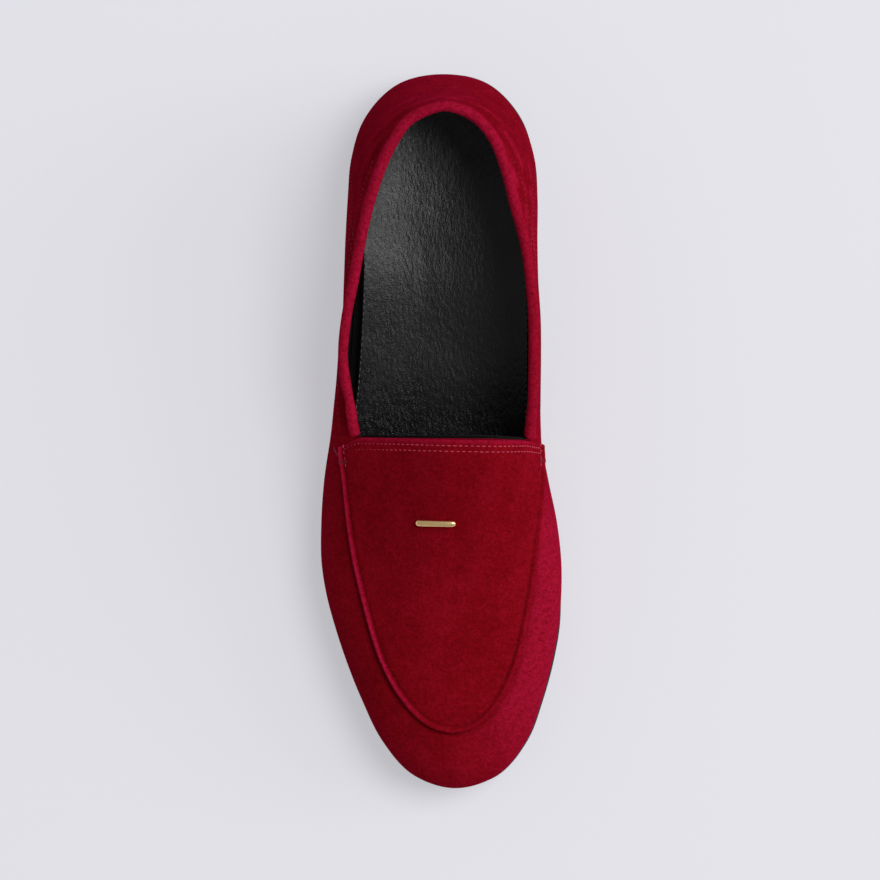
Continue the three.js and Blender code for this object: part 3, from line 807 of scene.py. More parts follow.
# Profile of the wall as it comes up to the roll. Columns: distance below the collar edge,
# outset of the suede.
ROLL_FOOT = [
    (11.0, 0.0), (9.6, -0.03), (8.4, -0.1), (7.4, -0.2), (6.6, -0.28), (5.9, -0.31),
    (5.3, -0.28), (4.7, -0.19), (4.2, -0.07), (3.7, 0.08), (3.3, 0.22), (2.95, 0.35),
    (2.6, 0.497),
]
ROLL_CENTRE = (1.35, 1.6)
ROLL_START, ROLL_END = -28.4, 212.0


def collar_frame(q):
    """Collar edge, the way out of it and the way up along the wall."""
    edge = collar_at(q)
    up = unit(edge - quarter(q, 0.9))
    along = unit(collar_at(q + 0.02) - collar_at(np.maximum(q - 0.02, 0)))
    out = unit(np.cross(along, up))
    middle = (0, 90, 0)
    out = np.where((np.sum(out * (edge - middle), axis=-1) < 0)[:, None], -out, out)
    square = np.cross(out, along)
    return edge, out, unit(square) * np.sign(np.sum(square * up, axis=-1))[:, None]


def upper_grid(step, wall_rows, strip_rows, cap_rows, arc_rows, lining=False):
    """Outer face of the upper as a grid, the numbers of its feather and opening rings, and
    those of its edge across the throat. Behind the throat the grid goes on over the collar's
    roll; the lining stops below that. Each point's tag is its round position and its distance
    below the collar edge."""
    grid = Grid()
    radius = sizes().roll_radius * 1000
    qs = loop_columns(step)
    rows = half_row(qs)
    # The wall's rows lie closer together towards the seam.
    rise = np.linspace(0, 1, wall_rows)
    levels = rise + 1 - (1 - rise) ** 2
    walls = np.array([wall(qs, v) for v in levels])
    span = np.linalg.norm(collar_at(qs) - shoulder(qs), axis=-1)
    behind = rows < THROAT - 1e-6
    foot = [row for row in ROLL_FOOT if not lining or row[0] > LINING_DROP]
    edge, out, up = collar_frame(qs)
    fade = smooth(THROAT, THROAT - 0.2, rows)[:, None]
    strips, depths = [], []
    # The roll's foot is squeezed where the quarter is low, towards the throat.
    foot_start, foot_end = foot[0][0] + 0.8, ROLL_FOOT[-1][0]
    start = np.minimum(foot_start, span * 0.8)
    for k in np.linspace(0, 1, strip_rows + 1)[1:]:
        depths.append(span + (start - span) * k)
        strips.append(quarter(qs, 1 - depths[-1] / span))
    squeeze = (start - foot_end) / (foot_start - foot_end)
    for below, outset in foot:
        depths.append(foot_end + (below - foot_end) * squeeze)
        p = quarter(qs, 1 - depths[-1] / span)
        strips.append(p if lining else p + out * outset * fade)
    strips = np.array(strips)
    arcs = []
    for a in np.radians(np.linspace(ROLL_START, ROLL_END, arc_rows + 1)[1:]):
        arcs.append(edge + out * (radius * math.cos(a) - ROLL_CENTRE[0])
                    + up * (radius * math.sin(a) - ROLL_CENTRE[1]))
    turn = meet_share(qs)
    count_strip = len(strips)
    caps = [instep(qs, 1 + (turn - 1) * k) for k in np.linspace(0, 1, count_strip + 1)[1:]]
    caps += [instep(qs, turn * (1 - k)) for k in np.linspace(0, 1, cap_rows + 1)[1:]]
    crest_ids = {}
    columns = []
    for c in range(len(qs)):
        # The wall is taken as 30 mm high from the lower edge to the shoulder.
        ids = [grid.put(walls[i, c], (qs[c], span[c] + 30 - 15 * levels[i]))
               for i in range(wall_rows)]
        if behind[c]:
            ids += [grid.put(strips[i, c], (qs[c], depths[i][c])) for i in range(count_strip)]
            if not lining:
                ids += [grid.put(arc[c], (qs[c], 0.0)) for arc in arcs]
            columns.append(ids)
            continue
        ids += [grid.put(caps[i][c], (qs[c], 60.0)) for i in range(count_strip + cap_rows - 1)]
        key = round(min(rows[c], FAN_ROW), 4)
        if key not in crest_ids:
            crest_ids[key] = grid.put(caps[-1][c], (qs[c], 60.0))
        ids.append(crest_ids[key])
        columns.append(ids)
    count = len(columns)
    top = wall_rows + count_strip - 1
    for c in range(count):
        n = (c + 1) % count
        a, b = columns[c], columns[n]
        # At the throat's corners the roll's rows run out to one point.
        if behind[c] and not behind[n]:
            b = b[:top] + [b[top]] * (len(a) - top)
        elif behind[n] and not behind[c]:
            a = a[:top] + [a[top]] * (len(b) - top)
        for i in range(len(a) - 1):
            grid.face(a[i], b[i], b[i + 1], a[i + 1])
    first = int(np.argmin(np.abs(qs - THROAT)))
    last = int(np.argmin(np.abs(qs - (ROUND - THROAT))))
    ring = [columns[last][top]] + [ids[-1] for ids in columns[last + 1:] + columns[:first]]
    ring += columns[first][top:] + columns[last][top + 1:-1][::-1]
    throat = columns[first][top + 1:] + columns[last][top + 1:-1]
    return grid, [ids[0] for ids in columns], ring, throat


# Painted light and shade below the collar: painted highlight on the roll, painted shade in the
# hollow under it. Columns: distance below the edge, painted light round the heel, by the outer
# throat corner, along the inner side.
COLLAR_PAINTED_LIGHT = [
    (0.0, 0.5, 0.5, 0.3), (1.5, 0.66, 0.6, 0.34), (3.0, 0.64, 0.4, 0.34), (4.2, 0.56, -0.3, 0.3),
    (5.6, 0.34, -0.9, 0.28), (7.5, -0.05, -0.85, 0.22), (10.0, -0.34, -0.6, 0.16),
    (14.0, -0.15, -0.2, 0.08), (19.0, 0.0, 0.0, 0.04), (26.0, -0.15, 0.0, 0.0),
    (45.0, 0.0, 0.0, 0.0),
]


def nap_and_painted_light_on_quarter(q, below):
    """Painted light and shade on the suede behind the throat: painted highlight on the roll,
    painted shade in the hollow under it and on the outer heel, and faint tone bands along the
    collar."""
    row = half_row(q)
    depth, heel, corner, inner = np.array(COLLAR_PAINTED_LIGHT).T
    front = smooth(6.6, 8.6, row) * on_outer(q)
    side = smooth(2.5, 6.0, row) * ~on_outer(q)
    rub = (np.interp(below, depth, heel) * (1 - front - side)
           + np.interp(below, depth, corner) * front + np.interp(below, depth, inner) * side)
    bands = (0.3 * np.sin(1.9 * below + 1.7 * np.sin(0.9 * q) + 0.6 * q)
             + 0.2 * np.sin(3.1 * below - 2.2 * np.sin(0.7 * q + 2.0))
             + 0.55 * np.sin(0.7 * below + 4.1 * np.sin(1.3 * q + 0.5))
             + 0.45 * np.sin(0.35 * below + 3.7 * q + 2.5 * np.sin(1.9 * q)))
    rub += (0.2 + 0.22 * smooth(6, 3, row)) * bands * smooth(2.5, 6, below) * smooth(45, 15, below)
    # Painted shade on the outer side of the heel, below the roll.
    rub -= 0.4 * smooth(0.8, 2.5, row) * smooth(7, 5, row) * on_outer(q) * smooth(4.5, 8, below)
    return rub * smooth(10.3, 9.9, row)


def painted_light_on_vamp(q):
    """Painted light on the suede round the apron: painted light along the inner side, painted
    shade along the outer.
    """
    row = half_row(q)
    inner = 0.38 * smooth(10.2, 12.5, row) * smooth(19.6, 17.0, row)
    outer = -0.15 * smooth(10.2, 11.5, row) * smooth(18.0, 15.0, row)
    return np.where(on_outer(q), outer, inner)


# ---------------------------------------------------------------- stitches


def stitch_tree():
    """Rows of stitches along curves, as joined meshes."""
    tree = bpy.data.node_groups.new("stitch_rows", "GeometryNodeTree")
    face = tree.interface
    face.new_socket("Geometry", in_out="INPUT", socket_type="NodeSocketGeometry")
    for name in ("Pitch", "Stitch length", "Thread radius"):
        face.new_socket(name, in_out="INPUT", socket_type="NodeSocketFloat")
    face.new_socket("Thread", in_out="INPUT", socket_type="NodeSocketMaterial")
    face.new_socket("Geometry", in_out="OUTPUT", socket_type="NodeSocketGeometry")
    new, link = tree.nodes.new, tree.links.new
    start, end = new("NodeGroupInput"), new("NodeGroupOutput")
    points = new("GeometryNodeCurveToPoints")
    points.mode = "LENGTH"
    link(start.outputs["Geometry"], points.inputs["Curve"])
    link(start.outputs["Pitch"], points.inputs["Length"])
    ball = new("GeometryNodeMeshUVSphere")
    ball.inputs["Segments"].default_value = 8
    ball.inputs["Rings"].default_value = 6
    ball.inputs["Radius"].default_value = 1.0
    half = new("ShaderNodeMath")
    half.operation = "MULTIPLY"
    half.inputs[1].default_value = 0.5
    link(start.outputs["Stitch length"], half.inputs[0])
    size = new("ShaderNodeCombineXYZ")
    link(start.outputs["Thread radius"], size.inputs["X"])
    link(start.outputs["Thread radius"], size.inputs["Y"])
    link(half.outputs[0], size.inputs["Z"])
    shaped = new("GeometryNodeTransform")
    link(ball.outputs["Mesh"], shaped.inputs["Geometry"])
    link(size.outputs[0], shaped.inputs["Scale"])
    smoothed = new("GeometryNodeSetShadeSmooth")
    link(shaped.outputs[0], smoothed.inputs[0])
    jitter = new("FunctionNodeRandomValue")
    jitter.data_type = "FLOAT_VECTOR"
    jitter.inputs["Min"].default_value = (0.85, 0.85, 0.82)
    jitter.inputs["Max"].default_value = (1.1, 1.1, 1.06)
    jitter.inputs["Seed"].default_value = 7
    many = new("GeometryNodeInstanceOnPoints")
    link(points.outputs["Points"], many.inputs["Points"])
    link(smoothed.outputs[0], many.inputs["Instance"])
    link(points.outputs["Rotation"], many.inputs["Rotation"])
    link(jitter.outputs["Value"], many.inputs["Scale"])
    real = new("GeometryNodeRealizeInstances")
    link(many.outputs[0], real.inputs[0])
    coat = new("GeometryNodeSetMaterial")
    link(real.outputs[0], coat.inputs["Geometry"])
    link(start.outputs["Thread"], coat.inputs["Material"])
    link(coat.outputs[0], end.inputs[0])
    return tree


def stitch_rows(name, lines, pitch, length, radius, material):
    """One mesh of stitches along lines of points, all in mm."""
    tree = bpy.data.node_groups.get("stitch_rows") or stitch_tree()
    curve = bpy.data.curves.new(name + "_path", "CURVE")
    curve.dimensions = "3D"
    for line in lines:
        co = place(np.asarray(line))
        spline = curve.splines.new("POLY")
        spline.points.add(len(co) - 1)
        spline.points.foreach_set("co", np.c_[co, np.ones(len(co))].ravel())
    path = bpy.data.objects.new(name + "_path", curve)
    bpy.context.scene.collection.objects.link(path)
    rows = path.modifiers.new("stitches", "NODES")
    rows.node_group = tree
    sockets = {i.name: i.identifier for i in tree.interface.items_tree if i.in_out == "INPUT"}
    rows[sockets["Pitch"]] = pitch * 0.001
    rows[sockets["Stitch length"]] = length * 0.001
    rows[sockets["Thread radius"]] = radius * 0.001
    rows[sockets["Thread"]] = material
    bpy.context.view_layer.update()
    depsgraph = bpy.context.evaluated_depsgraph_get()
    mesh = bpy.data.meshes.new_from_object(path.evaluated_get(depsgraph), depsgraph=depsgraph)
    path.modifiers.clear()
    bpy.data.objects.remove(path)
    mesh.name = name
    piece = bpy.data.objects.new(name, mesh)
    bpy.context.scene.collection.objects.link(piece)
    if not mesh.materials:
        mesh.materials.append(material)
    if not mesh.polygons:
        raise RuntimeError(f"{name} has no stitches")
    seat(piece)


def side_place(s, z, inner=False):
    """Round position and level of the place on one side of the upper at (s, z), found step
    by step from a first guess."""
    q, level = np.interp(s, [0, 85, 150], [0.5, 6, 10]), 1.6
    if inner:
        q = ROUND - q
    low, high = (0.05, THROAT) if not inner else (ROUND - THROAT, ROUND - 0.05)
    for _ in range(25):
        p = upper_point(np.array([q]), level)[0]
        es, ez = s - p[1], z - p[2]
        if abs(es) + abs(ez) < 0.01:
            break
        dq = (upper_point(np.array([q + 0.02]), level)[0] - p) / 0.02
        dv = (upper_point(np.array([q]), level + 0.01)[0] - p) / 0.01
        det = dq[1] * dv[2] - dv[1] * dq[2]
        q += np.clip((es * dv[2] - ez * dv[1]) / det, -0.8, 0.8)
        level += np.clip((ez * dq[1] - es * dq[2]) / det, -0.4, 0.4)
        q, level = float(np.clip(q, low, high)), float(np.clip(level, 0.02, 2.97))
    return q, level


# ---------------------------------------------------------------- user settings


class LoaferSizes(bpy.types.PropertyGroup):
    ridge_height: FloatProperty(
        name="Seam ridge", description="Height of the apron's raised seam", default=0.00228,
        unit="LENGTH", subtype="DISTANCE")
    roll_radius: FloatProperty(
        name="Collar roll", description="Radius of the rolled collar edge", default=0.0021,
        unit="LENGTH", subtype="DISTANCE")
    stitch_pitch: FloatProperty(
        name="Stitch pitch", description="Distance from stitch to stitch", default=0.00235,
        unit="LENGTH", subtype="DISTANCE")
    stitch_length: FloatProperty(
        name="Stitch length", description="Length of one stitch", default=0.0017,
        unit="LENGTH", subtype="DISTANCE")
    thread_radius: FloatProperty(
        name="Thread radius", description="Radius of the sewing thread", default=0.00026,
        unit="LENGTH", subtype="DISTANCE")
    camera_distance: FloatProperty(
        name="Camera distance", description="Distance from the camera to the shoe",
        default=2.5, unit="LENGTH", subtype="DISTANCE")
    camera_tilt: FloatProperty(
        name="Camera tilt", description="Lean of the view towards the inner side",
        default=math.radians(1.65), subtype="ANGLE")
    seam_steps: IntProperty(
        name="Seam steps", description="Columns of the apron for each row of the last",
        default=16, min=4)


class LoaferColours(bpy.types.PropertyGroup):
    # Also the colour of the painted shade on the suede.
    suede_deep: FloatVectorProperty(
        name="Suede, deep", description="Colour between the fibres", subtype="COLOR",
        size=4, default=(0.09, 0.0011, 0.003, 1), min=0, max=1)
    suede_mid: FloatVectorProperty(
        name="Suede", description="Main colour of the nap", subtype="COLOR",
        size=4, default=(0.185, 0.0024, 0.0062, 1), min=0, max=1)
    suede_lit: FloatVectorProperty(
        name="Suede, lit", description="Colour of the fibre tips", subtype="COLOR",
        size=4, default=(0.29, 0.005, 0.017, 1), min=0, max=1)
    # Colour of the painted highlights on the suede.
    suede_painted_light: FloatVectorProperty(
        name="Suede, rubbed", description="Colour of the nap where it is rubbed light",
        subtype="COLOR", size=4, default=(0.4, 0.008, 0.045, 1), min=0, max=1)
    thread: FloatVectorProperty(
        name="Thread", description="Colour of the sewing thread", subtype="COLOR",
        size=4, default=(0.62, 0.06, 0.11, 1), min=0, max=1)
    quarter_thread: FloatVectorProperty(
        name="Thread of the quarters", description="Colour of the thread behind the throat",
        subtype="COLOR", size=4, default=(0.34, 0.012, 0.04, 1), min=0, max=1)
    floor: FloatVectorProperty(
        name="Floor", description="Colour of the studio floor", subtype="COLOR",
        size=4, default=(0.47, 0.468, 0.498, 1), min=0, max=1)


def sizes():
    return bpy.context.scene.loafer_sizes


def colours():
    return bpy.context.scene.loafer_colours


def finish(make, name, *values):
    """The material of that name, made when it is first asked for."""
    return bpy.data.materials.get(name) or make(name, *values)


def suede():
    c = colours()
    return finish(suede_finish, "crimson_suede", c.suede_deep, c.suede_mid, c.suede_lit,
                  c.suede_painted_light)


def thread(name, colour, dark):
    return finish(thread_finish, name, colour, dark)


# ---------------------------------------------------------------- operators


class LOAFER_OT_stage(bpy.types.Operator):
    """Floor, soft studio light and camera"""

    bl_idname = "loafer.stage"
    bl_label = "Stage"

    def execute(self, context):
        scene = context.scene
        mesh = bpy.data.meshes.new("studio_floor")
        mesh.from_pydata([(-6, -6, 0), (6, -6, 0), (6, 6, 0), (-6, 6, 0)], [], [(0, 1, 2, 3)])
        mesh.materials.append(finish(floor_finish, "studio_floor", colours().floor))
        floor = bpy.data.objects.new("studio_floor", mesh)
        scene.collection.objects.link(floor)
        scene.view_settings.view_transform = "Standard"
        world = bpy.data.worlds.new("studio")
        world.use_nodes = True
        sky = world.node_tree.nodes["Background"]
        sky.inputs["Color"].default_value = (0.97, 0.98, 1.0, 1)
        sky.inputs["Strength"].default_value = 0.36
        scene.world = world
        # Columns: name, place, target, width, power
        lights = [
            ("key_light", (1.5, 0.7, 3.5), (0, 0, 0.03), 2.0, 88),
            ("side_light", (3.8, 0.6, 1.8), (0, 0, 0.03), 3.0, 72),
        ]
        for name, spot, target, width, power in lights:
            data = bpy.data.lights.new(name, "AREA")
            data.shape = "DISK"
            data.size = width
            data.energy = power
            lamp = bpy.data.objects.new(name, data)
            lamp.location = spot
            aim = Vector(target) - Vector(spot)
            lamp.rotation_euler = aim.to_track_quat("-Z", "Y").to_euler()
            scene.collection.objects.link(lamp)
        tilt = sizes().camera_tilt
        reach = sizes().camera_distance - PICTURE_CENTRE[2]
        data = bpy.data.cameras.new("camera")
        data.sensor_width = 36
        data.lens = data.sensor_width * reach / PICTURE_WIDTH
        data.clip_end = 50
        camera = bpy.data.objects.new("camera", data)
        camera.rotation_euler = (0, tilt, 0)
        back = Vector((math.sin(tilt), 0, math.cos(tilt)))
        camera.location = Vector(PICTURE_CENTRE) + back * reach
        scene.collection.objects.link(camera)
        scene.camera = camera
        return {"FINISHED"}


def sole_loop(qs, outset, height):
    """Loop round the outsole; it shows a little more inside the heel and inside the toe."""
    row = ROUND - qs
    extra = (smooth(0, 0.5, row) * (1 - smooth(1.7, 3.0, row)) * HEEL_SHOW
             + smooth(13.6, 15.4, row) * (1 - smooth(19.0, 20.0, row)) * TOE_SHOW)
    extra = np.where(qs > TOE, extra, 0)[:, None]
    p = feather(qs, FEATHER_INSET - SOLE_OUTSET - outset - extra)
    p[:, 2] = height(p[:, 1])
    return p


def sole_roof(s):
    """Top of the outsole, just under the upper."""
    return feather_height(s) - SOLE_GAP


def sole_ledge(s):
    """Top of the outsole's edge, below the recess."""
    return sole_roof(s) - SOLE_RECESS_HEIGHT


class LOAFER_OT_sole(bpy.types.Operator):
    """Leather outsole with its rounded edge and the recess under the upper"""

    bl_idname = "loafer.sole"
    bl_label = "Outsole"

    def execute(self, context):
        qs = loop_columns(0.1)
        # Columns: outset, share of the edge's height.
        edge = [(-9.0, 0.0), (-3.2, 0.0), (-1.6, 0.02), (-0.75, 0.08), (-0.28, 0.18),
                (-0.05, 0.3), (0.0, 0.42), (0.0, 0.6), (-0.06, 0.75), (-0.2, 0.87),
                (-0.42, 0.96), (-0.7, 1.0)]
        loops = []
        for outset, share in edge:
            loops.append(sole_loop(qs, outset, lambda s, k=share: (
                tread_height(s) + (sole_ledge(s) - tread_height(s)) * k)))
        loops.append(sole_loop(qs, -SOLE_RECESS, lambda s: sole_ledge(s) + 0.05))
        loops.append(sole_loop(qs, -SOLE_RECESS - 0.1, sole_roof))
        points, faces = ladder(loops)
        black = finish(grain_finish, "sole_edge_black", (0.003, 0.003, 0.0035, 1),
                       (0.014, 0.014, 0.016, 1), 0.42, 1300, 0.00012, 0.8)
        add_piece("outsole_leather", points, faces, black, ["outsole"])
        return {"FINISHED"}


def breast(x):
    """Station of the heel's breast at x."""
    across = np.clip((x + BREAST_REACH) / (2 * BREAST_REACH), 0, 1)
    return BREAST_OUTER + (BREAST_INNER - BREAST_OUTER) * across


def heel_loop(inset, z, bow):
    """Outline of one heel layer: round the seat and, bowed back a little, across the breast."""
    inset += FEATHER_INSET - SOLE_OUTSET
    sides = []
    r = np.linspace(0, 6.4, 97)[1:]
    for q in (r, ROUND - r):
        p = feather(q, inset)
        edge = breast(p[:, 0])
        cut = int(np.argmax(p[:, 1] >= edge - 0.4))
        a, b = p[cut - 1], p[cut]
        t = (edge[cut] - a[1]) / (b[1] - a[1])
        corner = a + (b - a) * t
        sides.append((p[:cut], corner))
    count = min(len(sides[0][0]), len(sides[1][0]))
    start = feather(np.array([0.0]), inset)
    rows = []
    for p, corner in sides:
        pick = np.linspace(0, len(p) - 1, count).round().astype(int)
        rows.append(np.vstack([p[pick], corner]))
    across = np.linspace(0, 1, 9)[1:-1]
    a, b = rows[0][-1], rows[1][-1]
    front = np.array([a + (b - a) * t + np.array([0, -bow * math.sin(math.pi * t), 0])
                      for t in across])
    loop = np.vstack([start, rows[0], front, rows[1][::-1]])
    loop[:, 2] = z
    return loop


class LOAFER_OT_heel(bpy.types.Operator):
    """Stacked heel layers and the top lift"""

    bl_idname = "loafer.heel"
    bl_label = "Heel"

    def execute(self, context):
        low, high = LIFT_HEIGHT + 0.05, SEAT_Z - 0.05
        mid = (low + high) / 2
        black = finish(heel_finish, "heel_black")
        brown = finish(heel_finish, "lift_brown", True)

        def layer(name, bottom, top, replaces, material, slot, draw=0.0):
            # Rounded edge. Columns: inset, height.
            rows = [(0.6, bottom), (0.22, bottom + 0.06), (0.05, bottom + 0.25),
                    (0.0, bottom + 0.6), (0.0, top - 0.6), (0.05, top - 0.25),
                    (0.22, top - 0.06), (0.6, top)]
            loops = [heel_loop(HEEL_INSET + draw + inset, z, 1.2) for inset, z in rows]
            points, faces = ladder(loops)
            add_piece(name, points, faces, material, replaces)

        layer("heel_layer_top", mid + 0.03, high, ["heel_stack"], black, "heel_black")
        layer("heel_layer_low", low, mid - 0.03, [], black, "heel_black", 0.05)
        layer("heel_lift", 0.0, LIFT_HEIGHT - 0.02, ["top_lift"], brown, "lift", 0.12)
        return {"FINISHED"}


def sock_ring(qs, k, lift):
    """Ring of the sock, k from its edge (0) to its middle line (1). Its edge is cupped round the
    heel and drawn in along the outer waist."""
    s = widest(qs)[:, 1]
    waist = smooth(50, 80, s) * smooth(210, 165, s) * on_outer(qs)
    side = feather(qs, (FEATHER_INSET + WALL + 0.6 + 2.4 * waist)[:, None])
    axis = side.copy()
    axis[:, 0] = np.interp(side[:, 1], [0, 50, 150, 240, 296], [1.0, 1.0, 0.5, 3, 5])
    axis[:, 1] = np.clip(side[:, 1], 34, 252)
    cup = np.interp(side[:, 1], [0, 75, 125, 180, 296], [4.6, 4.6, 2.4, 0.9, 0.9])
    p = side + (axis - side) * k
    p[:, 2] = feather_height(p[:, 1]) + lift + ((1 - k) ** 2.2 - 0.5) * cup * (k > 0.004)
    return p


class LOAFER_OT_sock(bpy.types.Operator):
    """Grained leather sock on the insole"""

    bl_idname = "loafer.sock"
    bl_label = "Sock"

    def execute(self, context):
        qs = loop_columns(0.1)
        rows = [sock_ring(qs, 0, 0), sock_ring(qs, 0, INSOLE_THICKNESS * 0.55)]
        # Rounded edge. Columns: share of the way to the middle line, drop.
        for k, drop in ((0.004, 0.84), (0.014, 0.3), (0.03, 0.06), (0.05, 0.0)):
            rows.append(sock_ring(qs, k, SOCK_TOP - drop))
        for k in np.linspace(0.08, 0.985, 34):
            rows.append(sock_ring(qs, k, SOCK_TOP))
        count = len(qs)
        points = list(np.concatenate(rows))
        faces = band_faces(len(rows), count) + under_faces(count)
        # The two sides are joined along one middle line.
        spine = sock_ring(qs, 1, SOCK_TOP)
        ids = {}
        middle = []
        for i in range(count):
            mirror = min(i, count - i)
            p = (spine[mirror] + spine[(count - mirror) % count]) / 2
            key = round(float(p[1]), 2)
            if key not in ids:
                ids[key] = len(points)
                points.append(p)
            middle.append(ids[key])
        last = (len(rows) - 1) * count
        for i in range(count):
            n = (i + 1) % count
            faces.append(tuple(dict.fromkeys((last + i, last + n, middle[n], middle[i]))))
        add_piece("sock_leather", np.array(points), faces,
                  finish(sock_finish, "sock_leather_grain"), ["insole"])
        return {"FINISHED"}


class LOAFER_OT_upper(bpy.types.Operator):
    """Suede skin of the upper, its black lining and the rolled collar"""

    bl_idname = "loafer.upper"
    bl_label = "Upper"

    def execute(self, context):
        lines = crease_lines()
        seam = shoulder(np.linspace(THROAT, ROUND - THROAT, 420))
        self.skin(lines, seam)
        grid, foot, ring, throat = upper_grid(0.1, 24, 8, 14, 0, lining=True)
        base, normals = self.faced(grid, foot)
        sink = crease_depth(base, lines)[:, None]
        back = np.zeros_like(base)
        back[throat, 1] = -LINING_SET_BACK
        outer = base - normals * (sink + SKIN + LINING_GAP) + back
        inner = base - normals * (sink + WALL) + back
        points, faces = shell(grid, outer, inner, [foot, ring])
        black = finish(grain_finish, "lining_black", (0.004, 0.004, 0.005, 1),
                       (0.016, 0.016, 0.018, 1), 0.55, 900, 0.00015)
        add_piece("lining", points, faces, black)
        return {"FINISHED"}

    def faced(self, grid, foot):
        """Points and outward ways of a grid, level along its lower edge."""
        normals = grid.normals()
        for i in foot:
            normals[i] = unit(np.array([normals[i][0], normals[i][1], 0]))
        return np.array(grid.points), normals

    def skin(self, lines, seam):
        """Suede from the feather edge over the roll, sunk beside the apron's seam."""
        grid, foot, ring, _ = upper_grid(0.0625, 32, 12, 20, 18)
        base, normals = self.faced(grid, foot)
        sink = crease_depth(base, lines)
        ahead = np.where(base[:, 1] > 145)[0]
        d, which = nearest(base[ahead], seam)
        hollow = 0.75 * np.exp(-((d / 1.5) ** 2)) * smooth(0, 8, which) * smooth(420, 412, which)
        sink[ahead] += hollow
        where, below = np.array(grid.tags).T
        rub = nap_and_painted_light_on_quarter(where, below) + painted_light_on_vamp(where)
        # Painted shade on the upper beside the apron's seam, full along the outer side and weaker
        # along the inner.
        rub[ahead] -= (0.9 * np.exp(-((d / 1.4) ** 2)) * smooth(0, 8, which)
                       * (0.3 + 0.7 * smooth(250, 190, which)))
        outer = base - normals * sink[:, None]
        inner = outer - normals * SKIN
        points, faces = shell(grid, outer, inner, [foot, ring])
        add_piece("upper_suede", points, faces, suede(), ["upper"],
                  rub=np.concatenate([rub, 0 * rub]))


# Top of the apron over the upper. Columns: distance from its edge, height over the upper.
RIDGE = [
    (0.0, 0.25), (0.08, 0.75), (0.25, 1.3), (0.55, 1.8), (0.95, 2.15), (1.35, 2.28),
    (1.75, 2.2), (2.1, 1.95), (2.45, 1.55), (2.7, 1.15), (2.9, 0.98), (3.15, 1.0),
    (3.5, 1.2), (4.0, 1.4), (4.8, 1.52), (6.0, 1.56),
]
# Painted light across the ridge: painted shade at the edge and in the groove, painted highlight
# on the ridge. Columns: distance from the apron's edge, painted light.
RIDGE_PAINTED_LIGHT = [
    (0, -0.9), (0.4, -0.5), (0.9, 0.3), (1.4, 0.85), (1.9, 0.8), (2.5, 0.1), (3.0, -0.6),
    (3.5, -0.3), (4.8, 0.0),
]
RIDGE_TOP = max(height for _, height in RIDGE)
# The apron's gap over the upper.
APRON_GAP = 0.05
# How far the apron's throat corners stand forward, in rows: outer side, inner side.
CORNER_SHIFT = (0.2, 0.08)


def apron_place(q, share):
    """Place on the upper under the apron, with its throat corners set forward."""
    q, share = np.broadcast_arrays(np.asarray(q, float), np.asarray(share, float))
    row = half_row(q)
    shift = np.where(on_outer(q), CORNER_SHIFT[0], CORNER_SHIFT[1])
    near = np.clip((THROAT + 1 - row), 0, 1)
    move = shift * smooth(0.78, 1, share) * near
    return instep(np.where(on_outer(q), q + move, q - move), share)


def edge_inset(q):
    """Gap from the apron's edge to the seam line; the inner throat corner stands over it."""
    near = smooth(THROAT + 1.2, THROAT + 0.2, half_row(q))
    return 0.4 - 0.85 * np.where(on_outer(q), 0, near)


def seam_run(q):
    """Length on the surface from crest to seam, near enough for offsets from the seam."""
    crest = crest_line(np.minimum(half_row(q), FAN_ROW))
    seam = shoulder(q)
    d = seam_direction(q)
    level = np.hypot(seam[..., 0] - crest[..., 0], seam[..., 1] - crest[..., 1])
    return level / np.hypot(d[..., 0], d[..., 1])


def share_from_seam(q, inset):
    """Share of the instep at a distance in from the seam line."""
    return 1 - inset / seam_run(q)


def ridge():
    """Distances from the apron's edge and heights over the upper, with the user's ridge."""
    distances, heights = np.array(RIDGE).T
    return distances, heights * (sizes().ridge_height * 1000 / RIDGE_TOP)


def apron_top(q, share, lift=0.0):
    """Point on the apron's top, lifted off it, and the way out of it."""
    q = np.asarray(q, float)
    share = np.asarray(share, float)
    along = apron_place(q + 0.01, share) - apron_place(q - 0.01, share)
    down = apron_place(q, share + 0.004) - apron_place(q, share - 0.004)
    n = unit(np.cross(along, down))
    run = (1 - share) * seam_run(q) - edge_inset(q)
    height = np.interp(run, *ridge()) + APRON_GAP + lift
    return apron_place(q, share) + n * height[..., None], n


